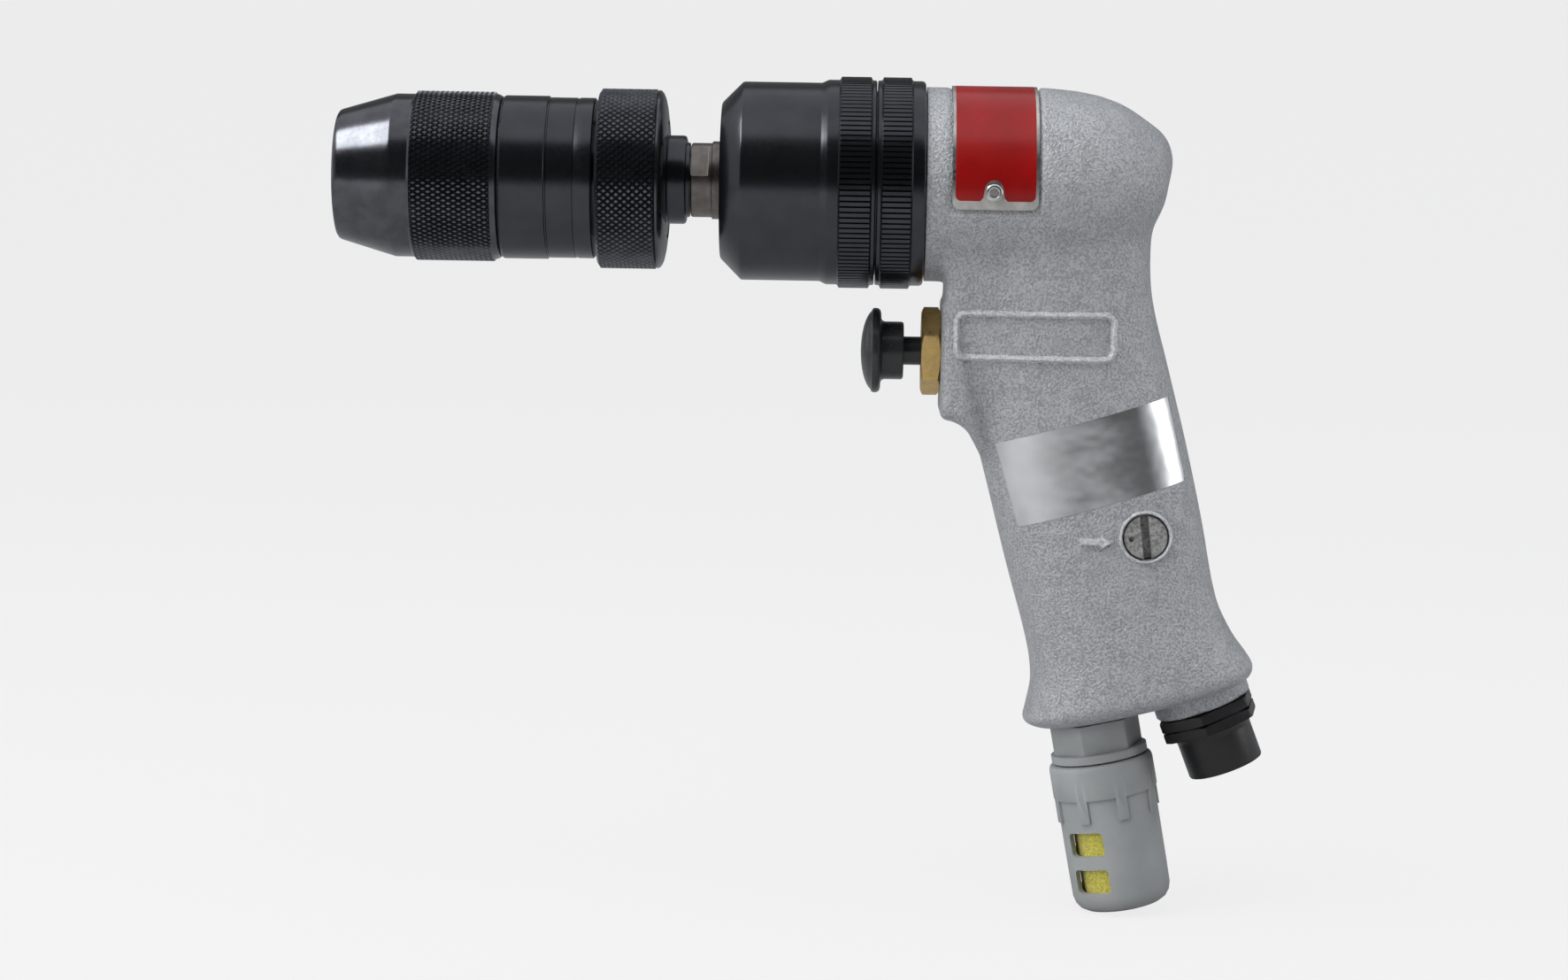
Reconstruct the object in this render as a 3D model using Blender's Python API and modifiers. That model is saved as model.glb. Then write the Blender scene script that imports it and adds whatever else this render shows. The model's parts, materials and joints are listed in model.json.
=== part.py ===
"""Pneumatic pistol-grip driver with a keyless three-jaw chuck.

World frame: X runs along the spindle, from the chuck (-X) to the motor (+X), Y is the
width and Z is up. The origin lies on the spindle axis where the grip's centre line
meets it. Lengths are in metres, angles in radians.
"""

from math import cos, pi, radians, sin

import bmesh
import bpy
from mathutils import Matrix, Vector

# ---------------------------------------------------------------- driving dimensions
GAP = 0.0003  # between two pieces that touch
FIT = 0.0003  # radial play of a piece in its bore
ROUND = 24  # sides of the large turned pieces
INSIDE = 18  # sides of the bearings, bushings and other pieces inside
SMALL = 16  # sides of pins, screws and drilled holes

# Chuck, stations along the spindle axis
CHUCK_FRONT = -0.1480
NOSE_R = 0.0142
CONE_END = -0.1353
HOOD_R = 0.0177
KNURL_R = 0.0184
KNURL_FRONT = -0.1308
HOOD_REAR = -0.1123
HOOD_BORE_R = 0.0150
SLEEVE_STEP = -0.1027
SLEEVE_REAR = -0.0919
SLEEVE_R = 0.0177
RING_FRONT = -0.0911
RING_REAR = -0.0761
RING_R = 0.0195
COLLAR_R = 0.0096
COLLAR_REAR = -0.0720
NECK_R = 0.0082
CHUCK_REAR = -0.0713
BODY_R = 0.0125
BODY_FRONT = -0.1175
JAW_CONE = radians(16.0)
JAW_MOUTH_R = 0.0086
JAW_WIDTH = 0.0052
JAW_LENGTH = 0.0200
JAW_OPENING_R = 0.0040
GUIDE_REAR = -0.1203
SCREW_R = 0.0050
SCREW_REAR = -0.0955
SCREW_HEAD_R = 0.0087
SCREW_HEAD_FRONT = -0.1310
SCREW_HEAD_REAR = -0.1260

# Output spindle and its clutch
SPINDLE_R = 0.00805
SPINDLE_COLLAR_R = 0.00845
SPINDLE_COLLAR_FRONT = -0.0665
SPINDLE_COLLAR_REAR = -0.0641
SPINDLE_FLATS = 0.0140
SPINDLE_FLAT_TURN = radians(-37.0)
SPINDLE_SHAFT_R = 0.0060
SPINDLE_REAR = -0.0335
SPINDLE_BUSH_R = 0.0096
THREAD_NOSE_R = 0.0053
THREAD_NOSE_FRONT = -0.0905
NUT_FRONT = -0.0593
NUT_REAR = -0.0528
NUT_R = 0.0145
SEAT_REAR = -0.0510
SEAT_R = 0.0135
CLUTCH_REAR = -0.0385
CLUTCH_THICK = 0.0040
CLUTCH_R = 0.0160
DOG_HEIGHT = 0.0012
SPRING_WIRE_R = 0.0010
SPRING_MEAN_R = 0.0102
SPRING_TURNS = 3.0

# Cases
CASE_FRONT = -0.0645
CASE_NOSE_R = 0.0171
CASE_R = 0.0215
CASE_CONE_END = -0.0599
CASE_STEP = -0.0420
CASE_SPLIT = -0.0310
CASE_RING_R = 0.0222
CASE_KNURL_R = 0.0229
KNURL_A = (-0.0388, -0.0320)
KNURL_B = (-0.0297, -0.0233)
CASE_BORE_R = 0.0185
CASE_SPIGOT_R = 0.0199
CASE_SPIGOT_FRONT = -0.0382
ACCESS_HOLE_R = 0.00265
ACCESS_HOLE_X = -0.0566
ACCESS_HOLE_TURN = radians(68.0)
GEARCASE_WEB = (-0.0228, -0.0202)
GEARCASE_SPIGOT_R = 0.0187
GEARCASE_SPIGOT_REAR = -0.0145

# Planetary gears
MODULE = 0.0006
SUN_TEETH = 12
PLANET_TEETH = 21
RING_TEETH = 54
PLANETS = 3
ADDENDUM = 0.00050
DEDENDUM = 0.00075
GEAR_FRONT = -0.0312
GEAR_REAR = -0.0246
CARRIER_FRONT = -0.0382
CARRIER_REAR = -0.0324
CARRIER_R = 0.0158
PIN_R = 0.0020
RING_GEAR_R = 0.0181

# Vane motor
MOTOR_BORE_R = 0.0172
MOTOR_R = 0.0169
FRONT_PLATE = (-0.0195, -0.0143)
CYLINDER = (-0.0140, 0.0120)
REAR_PLATE = (0.0123, 0.0168)
MOTOR_BORE_REAR = 0.0172
CYLINDER_BORE_R = 0.0139
ECCENTRICITY = 0.0013
ROTOR_R = 0.0124
SHAFT_R = 0.0040
VANES = 5
VANE_THICK = 0.0015
VANE_FOOT_R = 0.0063
VANE_TIP_R = 0.0122
BEARING_R = 0.0090

# Housing
BARREL_R = 0.0212
BARREL_FRONT = -0.0202
GRIP_LEAN = radians(14.4)
THROTTLE_Z = -0.0364
BOSS_FACE = -0.0160
BOSS_HALF_WIDTH = 0.0125
THROTTLE_BORE_R = 0.0065
VALVE_BORE_R = 0.0053
VALVE_BORE_REAR = 0.0160

# Throttle
BUTTON_APEX = -0.0337
BUTTON_R = 0.00925
BUTTON_SOCKET = 0.0055
BUTTON_DOME = 0.0030
HUB_R = 0.0063
HUB_REAR = -0.0242
STEM_R = 0.0031
STEM_TIP_R = 0.0020
POPPET_R = 0.0042
HEX_FRONT = -0.0204
HEX_FLATS = 0.0170
HEX_TURN = radians(5.7)
THROTTLE_TRAVEL = 0.0030

# Regulator
REGULATOR_AT = (0.0285, -0.0747)
REGULATOR_R = 0.0048
REGULATOR_RIM = 0.0009
REGULATOR_SLOT_TURN = radians(83.2)
REGULATOR_FACE = -0.0164
REGULATOR_REAR = 0.0055

# Silencer: a frame whose local Z runs down its axis from this point
SILENCER_AT = (0.0198, 0.0, -0.1194)
SILENCER_TILT = radians(10.6)
SILENCER_TOP = -0.0031
SILENCER_HEX_R = 0.0101
SILENCER_R = 0.0115
SILENCER_END = 0.0390
SILENCER_THREAD_R = 0.0077
SILENCER_FLANGE = (0.0033, 0.0051)
WINDOW_HEIGHT = 0.0053
WINDOW_WIDTH = 0.0088
WINDOW_ROWS = (0.0232, 0.0315)
WINDOW_TURNS = (radians(-52.0), radians(52.0))

# Air inlet: a frame whose local Z runs down its axis from this point
INLET_AT = (0.0436, 0.0, -0.11365)
INLET_TILT = radians(21.3)
INLET_BOSS_R = 0.0107
INLET_BOSS_FACE = -0.0004
INLET_HEX_R = 0.0115
INLET_HEX_TURN = radians(40.0)
INLET_HEX_END = 0.0046
INLET_THREAD_R = 0.0075
ADAPTER_R = 0.00835
ADAPTER_END = 0.0142
ADAPTER_BORE_R = 0.0062
PASSAGE_R = 0.0042

# Nameplate
PLATE_X = (-0.0147, 0.0036)
PLATE_LOW_Z = -0.0048
PLATE_THICK = 0.0004
PLATE_SEAT = 0.0004
PLATE_CLEAR = 0.0240
RIVET_AT = (-0.0059, -0.0013)
RIVET_R = 0.0010
RIVET_HEAD_R = 0.0019
RIVET_HEAD_HEIGHT = 0.0006
RIVET_FOOT = 0.0190


# ---------------------------------------------------------------- scene and frames
def clear_scene():
    for obj in list(bpy.data.objects):
        bpy.data.objects.remove(obj, do_unlink=True)


def collection(name):
    made = bpy.data.collections.new(name)
    bpy.context.scene.collection.children.link(made)
    return made


def axis_frame(at, direction):
    """A matrix at a point, with local Z along the direction."""
    turn = Vector((0.0, 0.0, 1.0)).rotation_difference(Vector(direction))
    return Matrix.Translation(Vector(at)) @ turn.to_matrix().to_4x4()


def tilted_down(at, tilt):
    """A frame whose local Z points down and leans to +X, and whose local X looks to -X."""
    return Matrix.Translation(Vector(at)) @ Matrix.Rotation(pi - tilt, 4, "Y")


SPINDLE = axis_frame((0.0, 0.0, 0.0), (1.0, 0.0, 0.0))
THROTTLE = axis_frame((0.0, 0.0, THROTTLE_Z), (1.0, 0.0, 0.0))
REGULATOR = axis_frame((REGULATOR_AT[0], 0.0, REGULATOR_AT[1]), (0.0, 1.0, 0.0))
SILENCER = tilted_down(SILENCER_AT, SILENCER_TILT)
INLET = tilted_down(INLET_AT, INLET_TILT)
WORLD = Matrix.Identity(4)


# ---------------------------------------------------------------- materials
def material(name, color, roughness, metallic=0.0):
    made = bpy.data.materials.new(name)
    made.use_nodes = True
    shader = made.node_tree.nodes["Principled BSDF"]
    shader.inputs["Base Color"].default_value = (*color, 1.0)
    shader.inputs["Roughness"].default_value = roughness
    shader.inputs["Metallic"].default_value = metallic
    made.diffuse_color = (*color, 1.0)
    return made


# ---------------------------------------------------------------- modelling helpers
def add_object(name, mesh, look, frame=WORLD):
    obj = bpy.data.objects.new(name, mesh)
    (CUTTERS if look is None else PARTS).objects.link(obj)
    obj.matrix_world = frame
    if look is None:
        obj.hide_render = True
        obj.display_type = "WIRE"
    else:
        mesh.materials.append(look)
    return obj


def turned(name, outer, inner, look, frame=SPINDLE, sides=ROUND):
    """A turned piece. Both outlines are (station, radius) pairs in the order of the stations."""
    if inner:
        outline = list(reversed(outer)) + list(inner)
    else:
        outline = [(outer[-1][0], 0.0)] + list(reversed(outer)) + [(outer[0][0], 0.0)]
    count = len(outline)
    mesh = bpy.data.meshes.new(name)
    edges = [(i, i + 1) for i in range(count - 1)]
    if inner:
        edges.append((count - 1, 0))
    mesh.from_pydata([(radius, 0.0, station) for station, radius in outline], edges, [])
    obj = add_object(name, mesh, look, frame)
    screw = obj.modifiers.new("Turn", "SCREW")
    screw.axis = "Z"
    screw.steps = sides
    screw.render_steps = sides
    screw.use_merge_vertices = True
    screw.merge_threshold = 0.000001
    screw.use_smooth_shade = True
    return obj


def rod(name, start, end, radius, look=None, frame=SPINDLE, sides=SMALL):
    return turned(name, [(start, radius), (end, radius)], [], look, frame, sides)


def tube(name, start, end, radius, bore, look, frame=SPINDLE, sides=ROUND):
    ends = [(start, radius), (end, radius)]
    return turned(name, ends, [(start, bore), (end, bore)], look, frame, sides)


def rod_between(name, start, end, radius):
    """A cutter between two points of the world."""
    span = Vector(end) - Vector(start)
    return rod(name, 0.0, span.length, radius, None, axis_frame(start, span), SMALL)


def box(name, size, at, look=None, frame=WORLD):
    mesh = bpy.data.meshes.new(name)
    form = bmesh.new()
    scale = Matrix.Diagonal((size[0], size[1], size[2], 1.0))
    bmesh.ops.create_cube(form, size=1.0, matrix=Matrix.Translation(Vector(at)) @ scale)
    form.to_mesh(mesh)
    form.free()
    return add_object(name, mesh, look, frame)


def plate(name, outlines, start, end, look, frame=SPINDLE):
    """A flat outline, with its holes, extruded along the frame's Z between two stations."""
    curve = bpy.data.curves.new(name, "CURVE")
    curve.dimensions = "2D"
    curve.fill_mode = "BOTH"
    curve.extrude = (end - start) / 2
    for outline in outlines:
        spline = curve.splines.new("POLY")
        spline.points.add(len(outline) - 1)
        for point, (x, y) in zip(spline.points, outline):
            point.co = (x, y, 0.0, 1.0)
        spline.use_cyclic_u = True
    middle = frame @ Matrix.Translation(Vector((0.0, 0.0, (start + end) / 2)))
    guide = bpy.data.objects.new(name + "_outline", curve)
    bpy.context.scene.collection.objects.link(guide)
    bpy.context.view_layer.update()
    graph = bpy.context.evaluated_depsgraph_get()
    mesh = bpy.data.meshes.new_from_object(guide.evaluated_get(graph))
    bpy.data.objects.remove(guide, do_unlink=True)
    form = bmesh.new()
    form.from_mesh(mesh)
    bmesh.ops.remove_doubles(form, verts=form.verts, dist=0.000001)
    bmesh.ops.recalc_face_normals(form, faces=form.faces)
    form.to_mesh(mesh)
    form.free()
    mesh.materials.clear()
    mesh.name = name
    return add_object(name, mesh, look, middle)


def boolean(target, other, operation):
    modifier = target.modifiers.new(other.name, "BOOLEAN")
    modifier.operation = operation
    modifier.solver = "EXACT"
    modifier.object = other


def cut(target, *cutters):
    for cutter in cutters:
        boolean(target, cutter, "DIFFERENCE")


def fuse(target, *others):
    for other in others:
        boolean(target, other, "UNION")


def polygon(sides, radius, turn=0.0):
    step = 2 * pi / sides
    return [
        (radius * cos(turn + i * step), radius * sin(turn + i * step)) for i in range(sides)
    ]


def coil(name, start, end, radius, wire, turns, look, frame, points_per_turn):
    """A compression spring as one tube, its ends closed by half a turn without pitch."""
    total = int(turns * points_per_turn)
    first = start + wire
    last = end - wire
    curve = bpy.data.curves.new(name, "CURVE")
    curve.dimensions = "3D"
    curve.bevel_depth = wire
    curve.bevel_resolution = 1
    curve.use_fill_caps = True
    spline = curve.splines.new("POLY")
    spline.points.add(total)
    for i, point in enumerate(spline.points):
        angle = 2 * pi * i / points_per_turn
        share = i / total
        point.co = (radius * cos(angle), radius * sin(angle), first + share * (last - first), 1)
    obj = bpy.data.objects.new(name, curve)
    PARTS.objects.link(obj)
    obj.matrix_world = frame
    curve.materials.append(look)
    return obj


# ---------------------------------------------------------------- chuck
def cone_r(station):
    """Inner radius of the hood's cone at a station."""
    return JAW_MOUTH_R + (station - CHUCK_FRONT) * sin(JAW_CONE) / cos(JAW_CONE)


def cone_end():
    return CHUCK_FRONT + (HOOD_BORE_R - JAW_MOUTH_R) * cos(JAW_CONE) / sin(JAW_CONE)


def chuck_hood(look):
    outer = [
        (CHUCK_FRONT, NOSE_R - 0.0012),
        (CHUCK_FRONT + 0.0008, NOSE_R),
        (CONE_END, HOOD_R - 0.0001),
        (KNURL_FRONT - 0.0002, HOOD_R),
        (KNURL_FRONT, KNURL_R),
        (HOOD_REAR, KNURL_R),
    ]
    inner = [(CHUCK_FRONT, JAW_MOUTH_R), (cone_end(), HOOD_BORE_R), (HOOD_REAR, HOOD_BORE_R)]
    return turned("chuck_hood", outer, inner, look)


def chuck_sleeve(look):
    spigot = HOOD_BORE_R - FIT
    front = HOOD_REAR + GAP
    outer = [
        (front - 0.0050, spigot),
        (front, spigot),
        (front, SLEEVE_R),
        (SLEEVE_STEP, SLEEVE_R),
        (SLEEVE_STEP, SLEEVE_R - 0.0003),
        (SLEEVE_REAR, SLEEVE_R - 0.0003),
    ]
    bore = BODY_R + FIT
    return turned("chuck_sleeve", outer, [(front - 0.0050, bore), (SLEEVE_REAR, bore)], look)


def jaw_slots(name, width, low, high, start, end, turn=0.0):
    """Three radial slots, as cutters, between two radii and two stations."""
    made = []
    for i in range(3):
        spin = Matrix.Rotation(turn + i * 2 * pi / 3, 4, "Z")
        size = (high - low, width, end - start)
        at = ((high + low) / 2, 0.0, (start + end) / 2)
        made.append(box(f"{name}_{i + 1}", size, at, None, SPINDLE @ spin))
    return made


def jaw_guide(look):
    front = CHUCK_FRONT + 0.0015
    rear = GUIDE_REAR
    bore = SCREW_HEAD_R + FIT
    mouth = cone_r(front) - FIT
    thin_end = CHUCK_FRONT + 0.0045
    outer = [(front, mouth), (cone_end(), HOOD_BORE_R - FIT), (rear, HOOD_BORE_R - FIT)]
    inner = [(front, mouth - 0.0006), (thin_end, bore), (rear, bore)]
    guide = turned("jaw_guide", outer, inner, look)
    slots_end = CHUCK_FRONT + 0.0012 + JAW_LENGTH + 0.0005
    cut(guide, *jaw_slots("guide_slot", JAW_WIDTH + 2 * GAP, 0.004, 0.020, front - 0.002, slots_end))
    return guide


def jaw_outline():
    """Side view of a jaw in its own frame: X radially out, Y along the spindle axis."""
    front = CHUCK_FRONT + 0.0012
    rear = front + JAW_LENGTH
    play = FIT + 0.0001
    tail = SCREW_HEAD_FRONT - 2 * GAP
    return [
        (JAW_OPENING_R, front),
        (cone_r(front) - play, front),
        (cone_r(rear) - play, rear),
        (JAW_MOUTH_R + 0.0006, rear),
        (JAW_MOUTH_R + 0.0006, tail),
        (JAW_OPENING_R, tail),
    ]


def chuck_jaw(index, look):
    """One jaw: its side view, extruded to its width, and a 120 degree gripping edge."""
    turn = index * 2 * pi / 3
    stand = SPINDLE @ Matrix.Rotation(turn, 4, "Z") @ Matrix.Rotation(pi / 2, 4, "X")
    name = f"chuck_jaw_{index + 1}"
    jaw = plate(name, [jaw_outline()], -JAW_WIDTH / 2, JAW_WIDTH / 2, look, stand)
    form = bmesh.new()
    form.from_mesh(jaw.data)
    half = radians(30)
    for side in (-1, 1):
        found = bmesh.ops.bisect_plane(
            form,
            geom=form.verts[:] + form.edges[:] + form.faces[:],
            dist=0.0000001,
            plane_co=(JAW_OPENING_R, 0.0, 0.0),
            plane_no=(-sin(half), 0.0, side * cos(half)),
            clear_outer=True,
        )
        rim = [e for e in found["geom_cut"] if isinstance(e, bmesh.types.BMEdge)]
        bmesh.ops.edgenet_fill(form, edges=rim)
    bmesh.ops.recalc_face_normals(form, faces=form.faces)
    form.to_mesh(jaw.data)
    form.free()
    return jaw


def feed_screw(look):
    outer = [
        (SCREW_HEAD_FRONT, SCREW_HEAD_R - 0.0005),
        (SCREW_HEAD_FRONT + 0.0005, SCREW_HEAD_R),
        (SCREW_HEAD_REAR, SCREW_HEAD_R),
        (SCREW_HEAD_REAR, SCREW_R),
        (SCREW_REAR, SCREW_R),
    ]
    screw = turned("feed_screw", outer, [], look, SPINDLE, SMALL)
    slots = jaw_slots("screw_slot", JAW_WIDTH + 2 * GAP, 0.0046, 0.012, -0.140, SCREW_HEAD_REAR + 0.001)
    cut(screw, *slots)
    return screw


def chuck_body(look):
    ring_seat = RING_REAR - GAP
    outer = [
        (BODY_FRONT, BODY_R),
        (ring_seat - 0.0006, BODY_R),
        (ring_seat, BODY_R - 0.0006),
        (ring_seat, COLLAR_R),
        (COLLAR_REAR - 0.0006, COLLAR_R),
        (COLLAR_REAR, COLLAR_R - 0.0006),
        (COLLAR_REAR, NECK_R),
        (CHUCK_REAR, NECK_R),
    ]
    web = THREAD_NOSE_FRONT - 0.0015
    inner = [
        (BODY_FRONT, SCREW_R + FIT),
        (web - 0.003, SCREW_R + FIT),
        (web - 0.003, 0.0030),
        (web, 0.0030),
        (web, THREAD_NOSE_R + FIT),
        (CHUCK_REAR, THREAD_NOSE_R + FIT),
    ]
    return turned("chuck_body", outer, inner, look)


def holding_ring(look):
    outer = [
        (RING_FRONT, RING_R - 0.0005),
        (RING_FRONT + 0.0006, RING_R),
        (RING_REAR - 0.0022, RING_R),
        (RING_REAR - 0.0008, RING_R - 0.0012),
        (RING_REAR, RING_R - 0.0028),
    ]
    bore = BODY_R + FIT
    return turned("chuck_holding_ring", outer, [(RING_FRONT, bore), (RING_REAR, bore)], look)


def chuck(steel, bright):
    chuck_hood(steel)
    chuck_sleeve(steel)
    jaw_guide(bright)
    for index in range(3):
        chuck_jaw(index, bright)
    feed_screw(bright)
    chuck_body(steel)
    holding_ring(steel)
    race = (GUIDE_REAR + GAP, BODY_FRONT - GAP)
    tube("chuck_thrust_race", race[0], race[1], HOOD_BORE_R - FIT, SCREW_R + 0.004, bright, SPINDLE, INSIDE)


# ---------------------------------------------------------------- spindle and clutch
def output_spindle(look):
    front = CHUCK_REAR + GAP
    outer = [
        (THREAD_NOSE_FRONT, THREAD_NOSE_R),
        (front, THREAD_NOSE_R),
        (front, SPINDLE_R),
        (SPINDLE_COLLAR_FRONT, SPINDLE_R),
        (SPINDLE_COLLAR_FRONT, SPINDLE_COLLAR_R),
        (SPINDLE_COLLAR_REAR, SPINDLE_COLLAR_R),
        (SPINDLE_COLLAR_REAR, SPINDLE_SHAFT_R),
        (SPINDLE_REAR, SPINDLE_SHAFT_R),
    ]
    spindle = turned("output_spindle", outer, [], look, SPINDLE, INSIDE)
    spin = SPINDLE @ Matrix.Rotation(SPINDLE_FLAT_TURN, 4, "Z")
    length = SPINDLE_COLLAR_FRONT - front
    for side in (-1, 1):
        at = (0.0, side * (SPINDLE_FLATS / 2 + 0.002), front + length / 2 - 0.0002)
        size = (0.020, 0.004, length)
        cut(spindle, box(f"spindle_flat_{side + 2}", size, at, None, spin))
    return spindle


def clutch_parts(steel, bronze, spring):
    bush = SPINDLE_SHAFT_R + FIT
    front = SPINDLE_COLLAR_REAR + GAP
    tube("spindle_bushing", front, NUT_FRONT - GAP, SPINDLE_BUSH_R, bush, bronze, SPINDLE, INSIDE)
    nut = tube("clutch_adjusting_nut", NUT_FRONT, NUT_REAR, NUT_R, bush, steel, SPINDLE, INSIDE)
    for i in range(4):
        spin = SPINDLE @ Matrix.Rotation(ACCESS_HOLE_TURN + i * pi / 2, 4, "Z")
        across = spin @ Matrix.Translation(Vector((0.0, 0.0, ACCESS_HOLE_X)))
        side = across @ Matrix.Rotation(pi / 2, 4, "X")
        cut(nut, rod(f"nut_hole_{i + 1}", 0.0110, 0.0160, 0.0019, None, side, 12))
    tube("clutch_spring_seat", NUT_REAR + GAP, SEAT_REAR, SEAT_R, bush, steel, SPINDLE, INSIDE)
    front = CLUTCH_REAR - CLUTCH_THICK
    disc = tube("clutch_plate", front, CLUTCH_REAR, CLUTCH_R, bush, steel, SPINDLE, INSIDE)
    for i in range(3):
        spin = SPINDLE @ Matrix.Rotation(i * 2 * pi / 3, 4, "Z")
        depth = DOG_HEIGHT + GAP
        at = (0.0125, 0.0, CLUTCH_REAR - depth / 2 + 0.0005)
        cut(disc, box(f"clutch_pocket_{i + 1}", (0.0056, 0.0046, depth + 0.001), at, None, spin))
    coil(
        "clutch_spring",
        SEAT_REAR + GAP,
        front - GAP,
        SPRING_MEAN_R,
        SPRING_WIRE_R,
        SPRING_TURNS,
        spring,
        SPINDLE,
        10,
    )


# ---------------------------------------------------------------- cases
def clutch_case(look):
    front_bore = 0.0099
    chamber = CASE_FRONT + 0.0045
    outer = [
        (CASE_FRONT, CASE_NOSE_R),
        (CASE_CONE_END, CASE_R),
        (CASE_STEP, CASE_R),
        (CASE_STEP, CASE_RING_R),
        (KNURL_A[0], CASE_RING_R),
        (KNURL_A[0], CASE_KNURL_R),
        (KNURL_A[1], CASE_KNURL_R),
        (KNURL_A[1], CASE_RING_R),
        (CASE_SPLIT, CASE_RING_R),
    ]
    socket = CASE_SPIGOT_FRONT - GAP
    inner = [
        (CASE_FRONT, front_bore),
        (chamber, front_bore),
        (chamber, CASE_BORE_R),
        (socket, CASE_BORE_R),
        (socket, CASE_SPIGOT_R + FIT),
        (CASE_SPLIT, CASE_SPIGOT_R + FIT),
    ]
    case = turned("clutch_case", outer, inner, look)
    spin = SPINDLE @ Matrix.Rotation(pi / 2 + ACCESS_HOLE_TURN, 4, "Z")
    hole = spin @ Matrix.Translation(Vector((0.0, 0.0, ACCESS_HOLE_X))) @ Matrix.Rotation(pi / 2, 4, "Y")
    cut(case, rod("access_hole", 0.0150, 0.0250, ACCESS_HOLE_R, None, hole, SMALL))
    return case


def gear_case(look):
    front = CASE_SPLIT + GAP
    outer = [
        (CASE_SPIGOT_FRONT, CASE_SPIGOT_R),
        (front, CASE_SPIGOT_R),
        (front, CASE_RING_R),
        (KNURL_B[0], CASE_RING_R),
        (KNURL_B[0], CASE_KNURL_R),
        (KNURL_B[1], CASE_KNURL_R),
        (KNURL_B[1], CASE_RING_R),
        (BARREL_FRONT - GAP, CASE_RING_R),
        (BARREL_FRONT - GAP, GEARCASE_SPIGOT_R),
        (GEARCASE_SPIGOT_REAR, GEARCASE_SPIGOT_R),
    ]
    inner = [
        (CASE_SPIGOT_FRONT, RING_GEAR_R + FIT),
        (GEARCASE_WEB[0], RING_GEAR_R + FIT),
        (GEARCASE_WEB[0], 0.0120),
        (GEARCASE_WEB[1], 0.0120),
        (GEARCASE_WEB[1], MOTOR_BORE_R),
        (GEARCASE_SPIGOT_REAR, MOTOR_BORE_R),
    ]
    return turned("gear_case", outer, inner, look)


# ---------------------------------------------------------------- gears
def gear_outline(teeth, root_r, tip_r, turn=0.0, root_share=0.25, tip_share=0.11):
    """A straight-flanked gear. The shares are half widths of a tooth in pitches."""
    step = 2 * pi / teeth
    points = []
    for i in range(teeth):
        middle = turn + i * step
        corners = ((-root_share, root_r), (-tip_share, tip_r), (tip_share, tip_r), (root_share, root_r))
        for share, radius in corners:
            angle = middle + share * step
            points.append((radius * cos(angle), radius * sin(angle)))
    return points


def pitch_r(teeth):
    return teeth * MODULE / 2


def planet_frame(index):
    turn = index * 2 * pi / PLANETS
    arm = pitch_r(SUN_TEETH) + pitch_r(PLANET_TEETH)
    spin = Matrix.Rotation(turn, 4, "Z")
    return SPINDLE @ spin @ Matrix.Translation(Vector((arm, 0.0, 0.0)))


def gears(steel):
    sun = pitch_r(SUN_TEETH)
    outline = gear_outline(SUN_TEETH, sun - DEDENDUM, sun + ADDENDUM)
    plate("sun_pinion", [outline, polygon(12, 0.0019)], GEAR_FRONT, GEAR_REAR, steel)
    planet = pitch_r(PLANET_TEETH)
    outline = gear_outline(PLANET_TEETH, planet - DEDENDUM, planet + ADDENDUM)
    hole = polygon(16, PIN_R + FIT)
    for i in range(PLANETS):
        name = f"planet_gear_{i + 1}"
        plate(name, [outline, hole], GEAR_FRONT, GEAR_REAR, steel, planet_frame(i))
    ring = pitch_r(RING_TEETH)
    half_tooth = pi / RING_TEETH
    teeth = gear_outline(RING_TEETH, ring + DEDENDUM, ring - ADDENDUM, half_tooth)
    rim = polygon(ROUND, RING_GEAR_R)
    plate("ring_gear", [rim, teeth], GEAR_FRONT, GEARCASE_WEB[0] - GAP, steel)


def carrier(steel, bright):
    bore = SPINDLE_SHAFT_R + FIT
    disc = tube("planet_carrier", CARRIER_FRONT, CARRIER_REAR, CARRIER_R, bore, steel, SPINDLE, INSIDE)
    for i in range(PLANETS):
        spin = SPINDLE @ Matrix.Rotation(i * 2 * pi / 3, 4, "Z")
        height = DOG_HEIGHT + 0.001
        at = (0.0125, 0.0, CARRIER_FRONT - DOG_HEIGHT + height / 2)
        fuse(disc, box(f"carrier_dog_{i + 1}", (0.0050, 0.0040, height), at, None, spin))
    for i in range(PLANETS):
        frame = planet_frame(i)
        start = CARRIER_FRONT + 0.0022
        cut(disc, rod(f"pin_hole_{i + 1}", start - GAP, CARRIER_REAR + 0.001, PIN_R + FIT, None, frame, 16))
        rod(f"planet_pin_{i + 1}", start, GEAR_REAR + 0.0004, PIN_R, bright, frame, 12)


# ---------------------------------------------------------------- vane motor
def rotor(look):
    stub = 0.0016
    outer = [
        (GEAR_FRONT - 0.0006, stub),
        (GEAR_REAR + GAP, stub),
        (GEAR_REAR + GAP, SHAFT_R),
        (CYLINDER[0] + GAP, SHAFT_R),
        (CYLINDER[0] + GAP, ROTOR_R),
        (CYLINDER[1] - GAP, ROTOR_R),
        (CYLINDER[1] - GAP, SHAFT_R),
        (REAR_PLATE[1] - GAP, SHAFT_R),
    ]
    body = turned("motor_rotor", outer, [], look)
    foot = VANE_FOOT_R - GAP
    middle = (CYLINDER[0] + CYLINDER[1]) / 2
    length = CYLINDER[1] - CYLINDER[0]
    for i in range(VANES):
        spin = SPINDLE @ Matrix.Rotation(i * 2 * pi / VANES, 4, "Z")
        size = (0.0100, VANE_THICK + 2 * GAP * 2 / 3, length)
        cut(body, box(f"vane_slot_{i + 1}", size, (foot + 0.005, 0.0, middle), None, spin))
    return body


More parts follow.
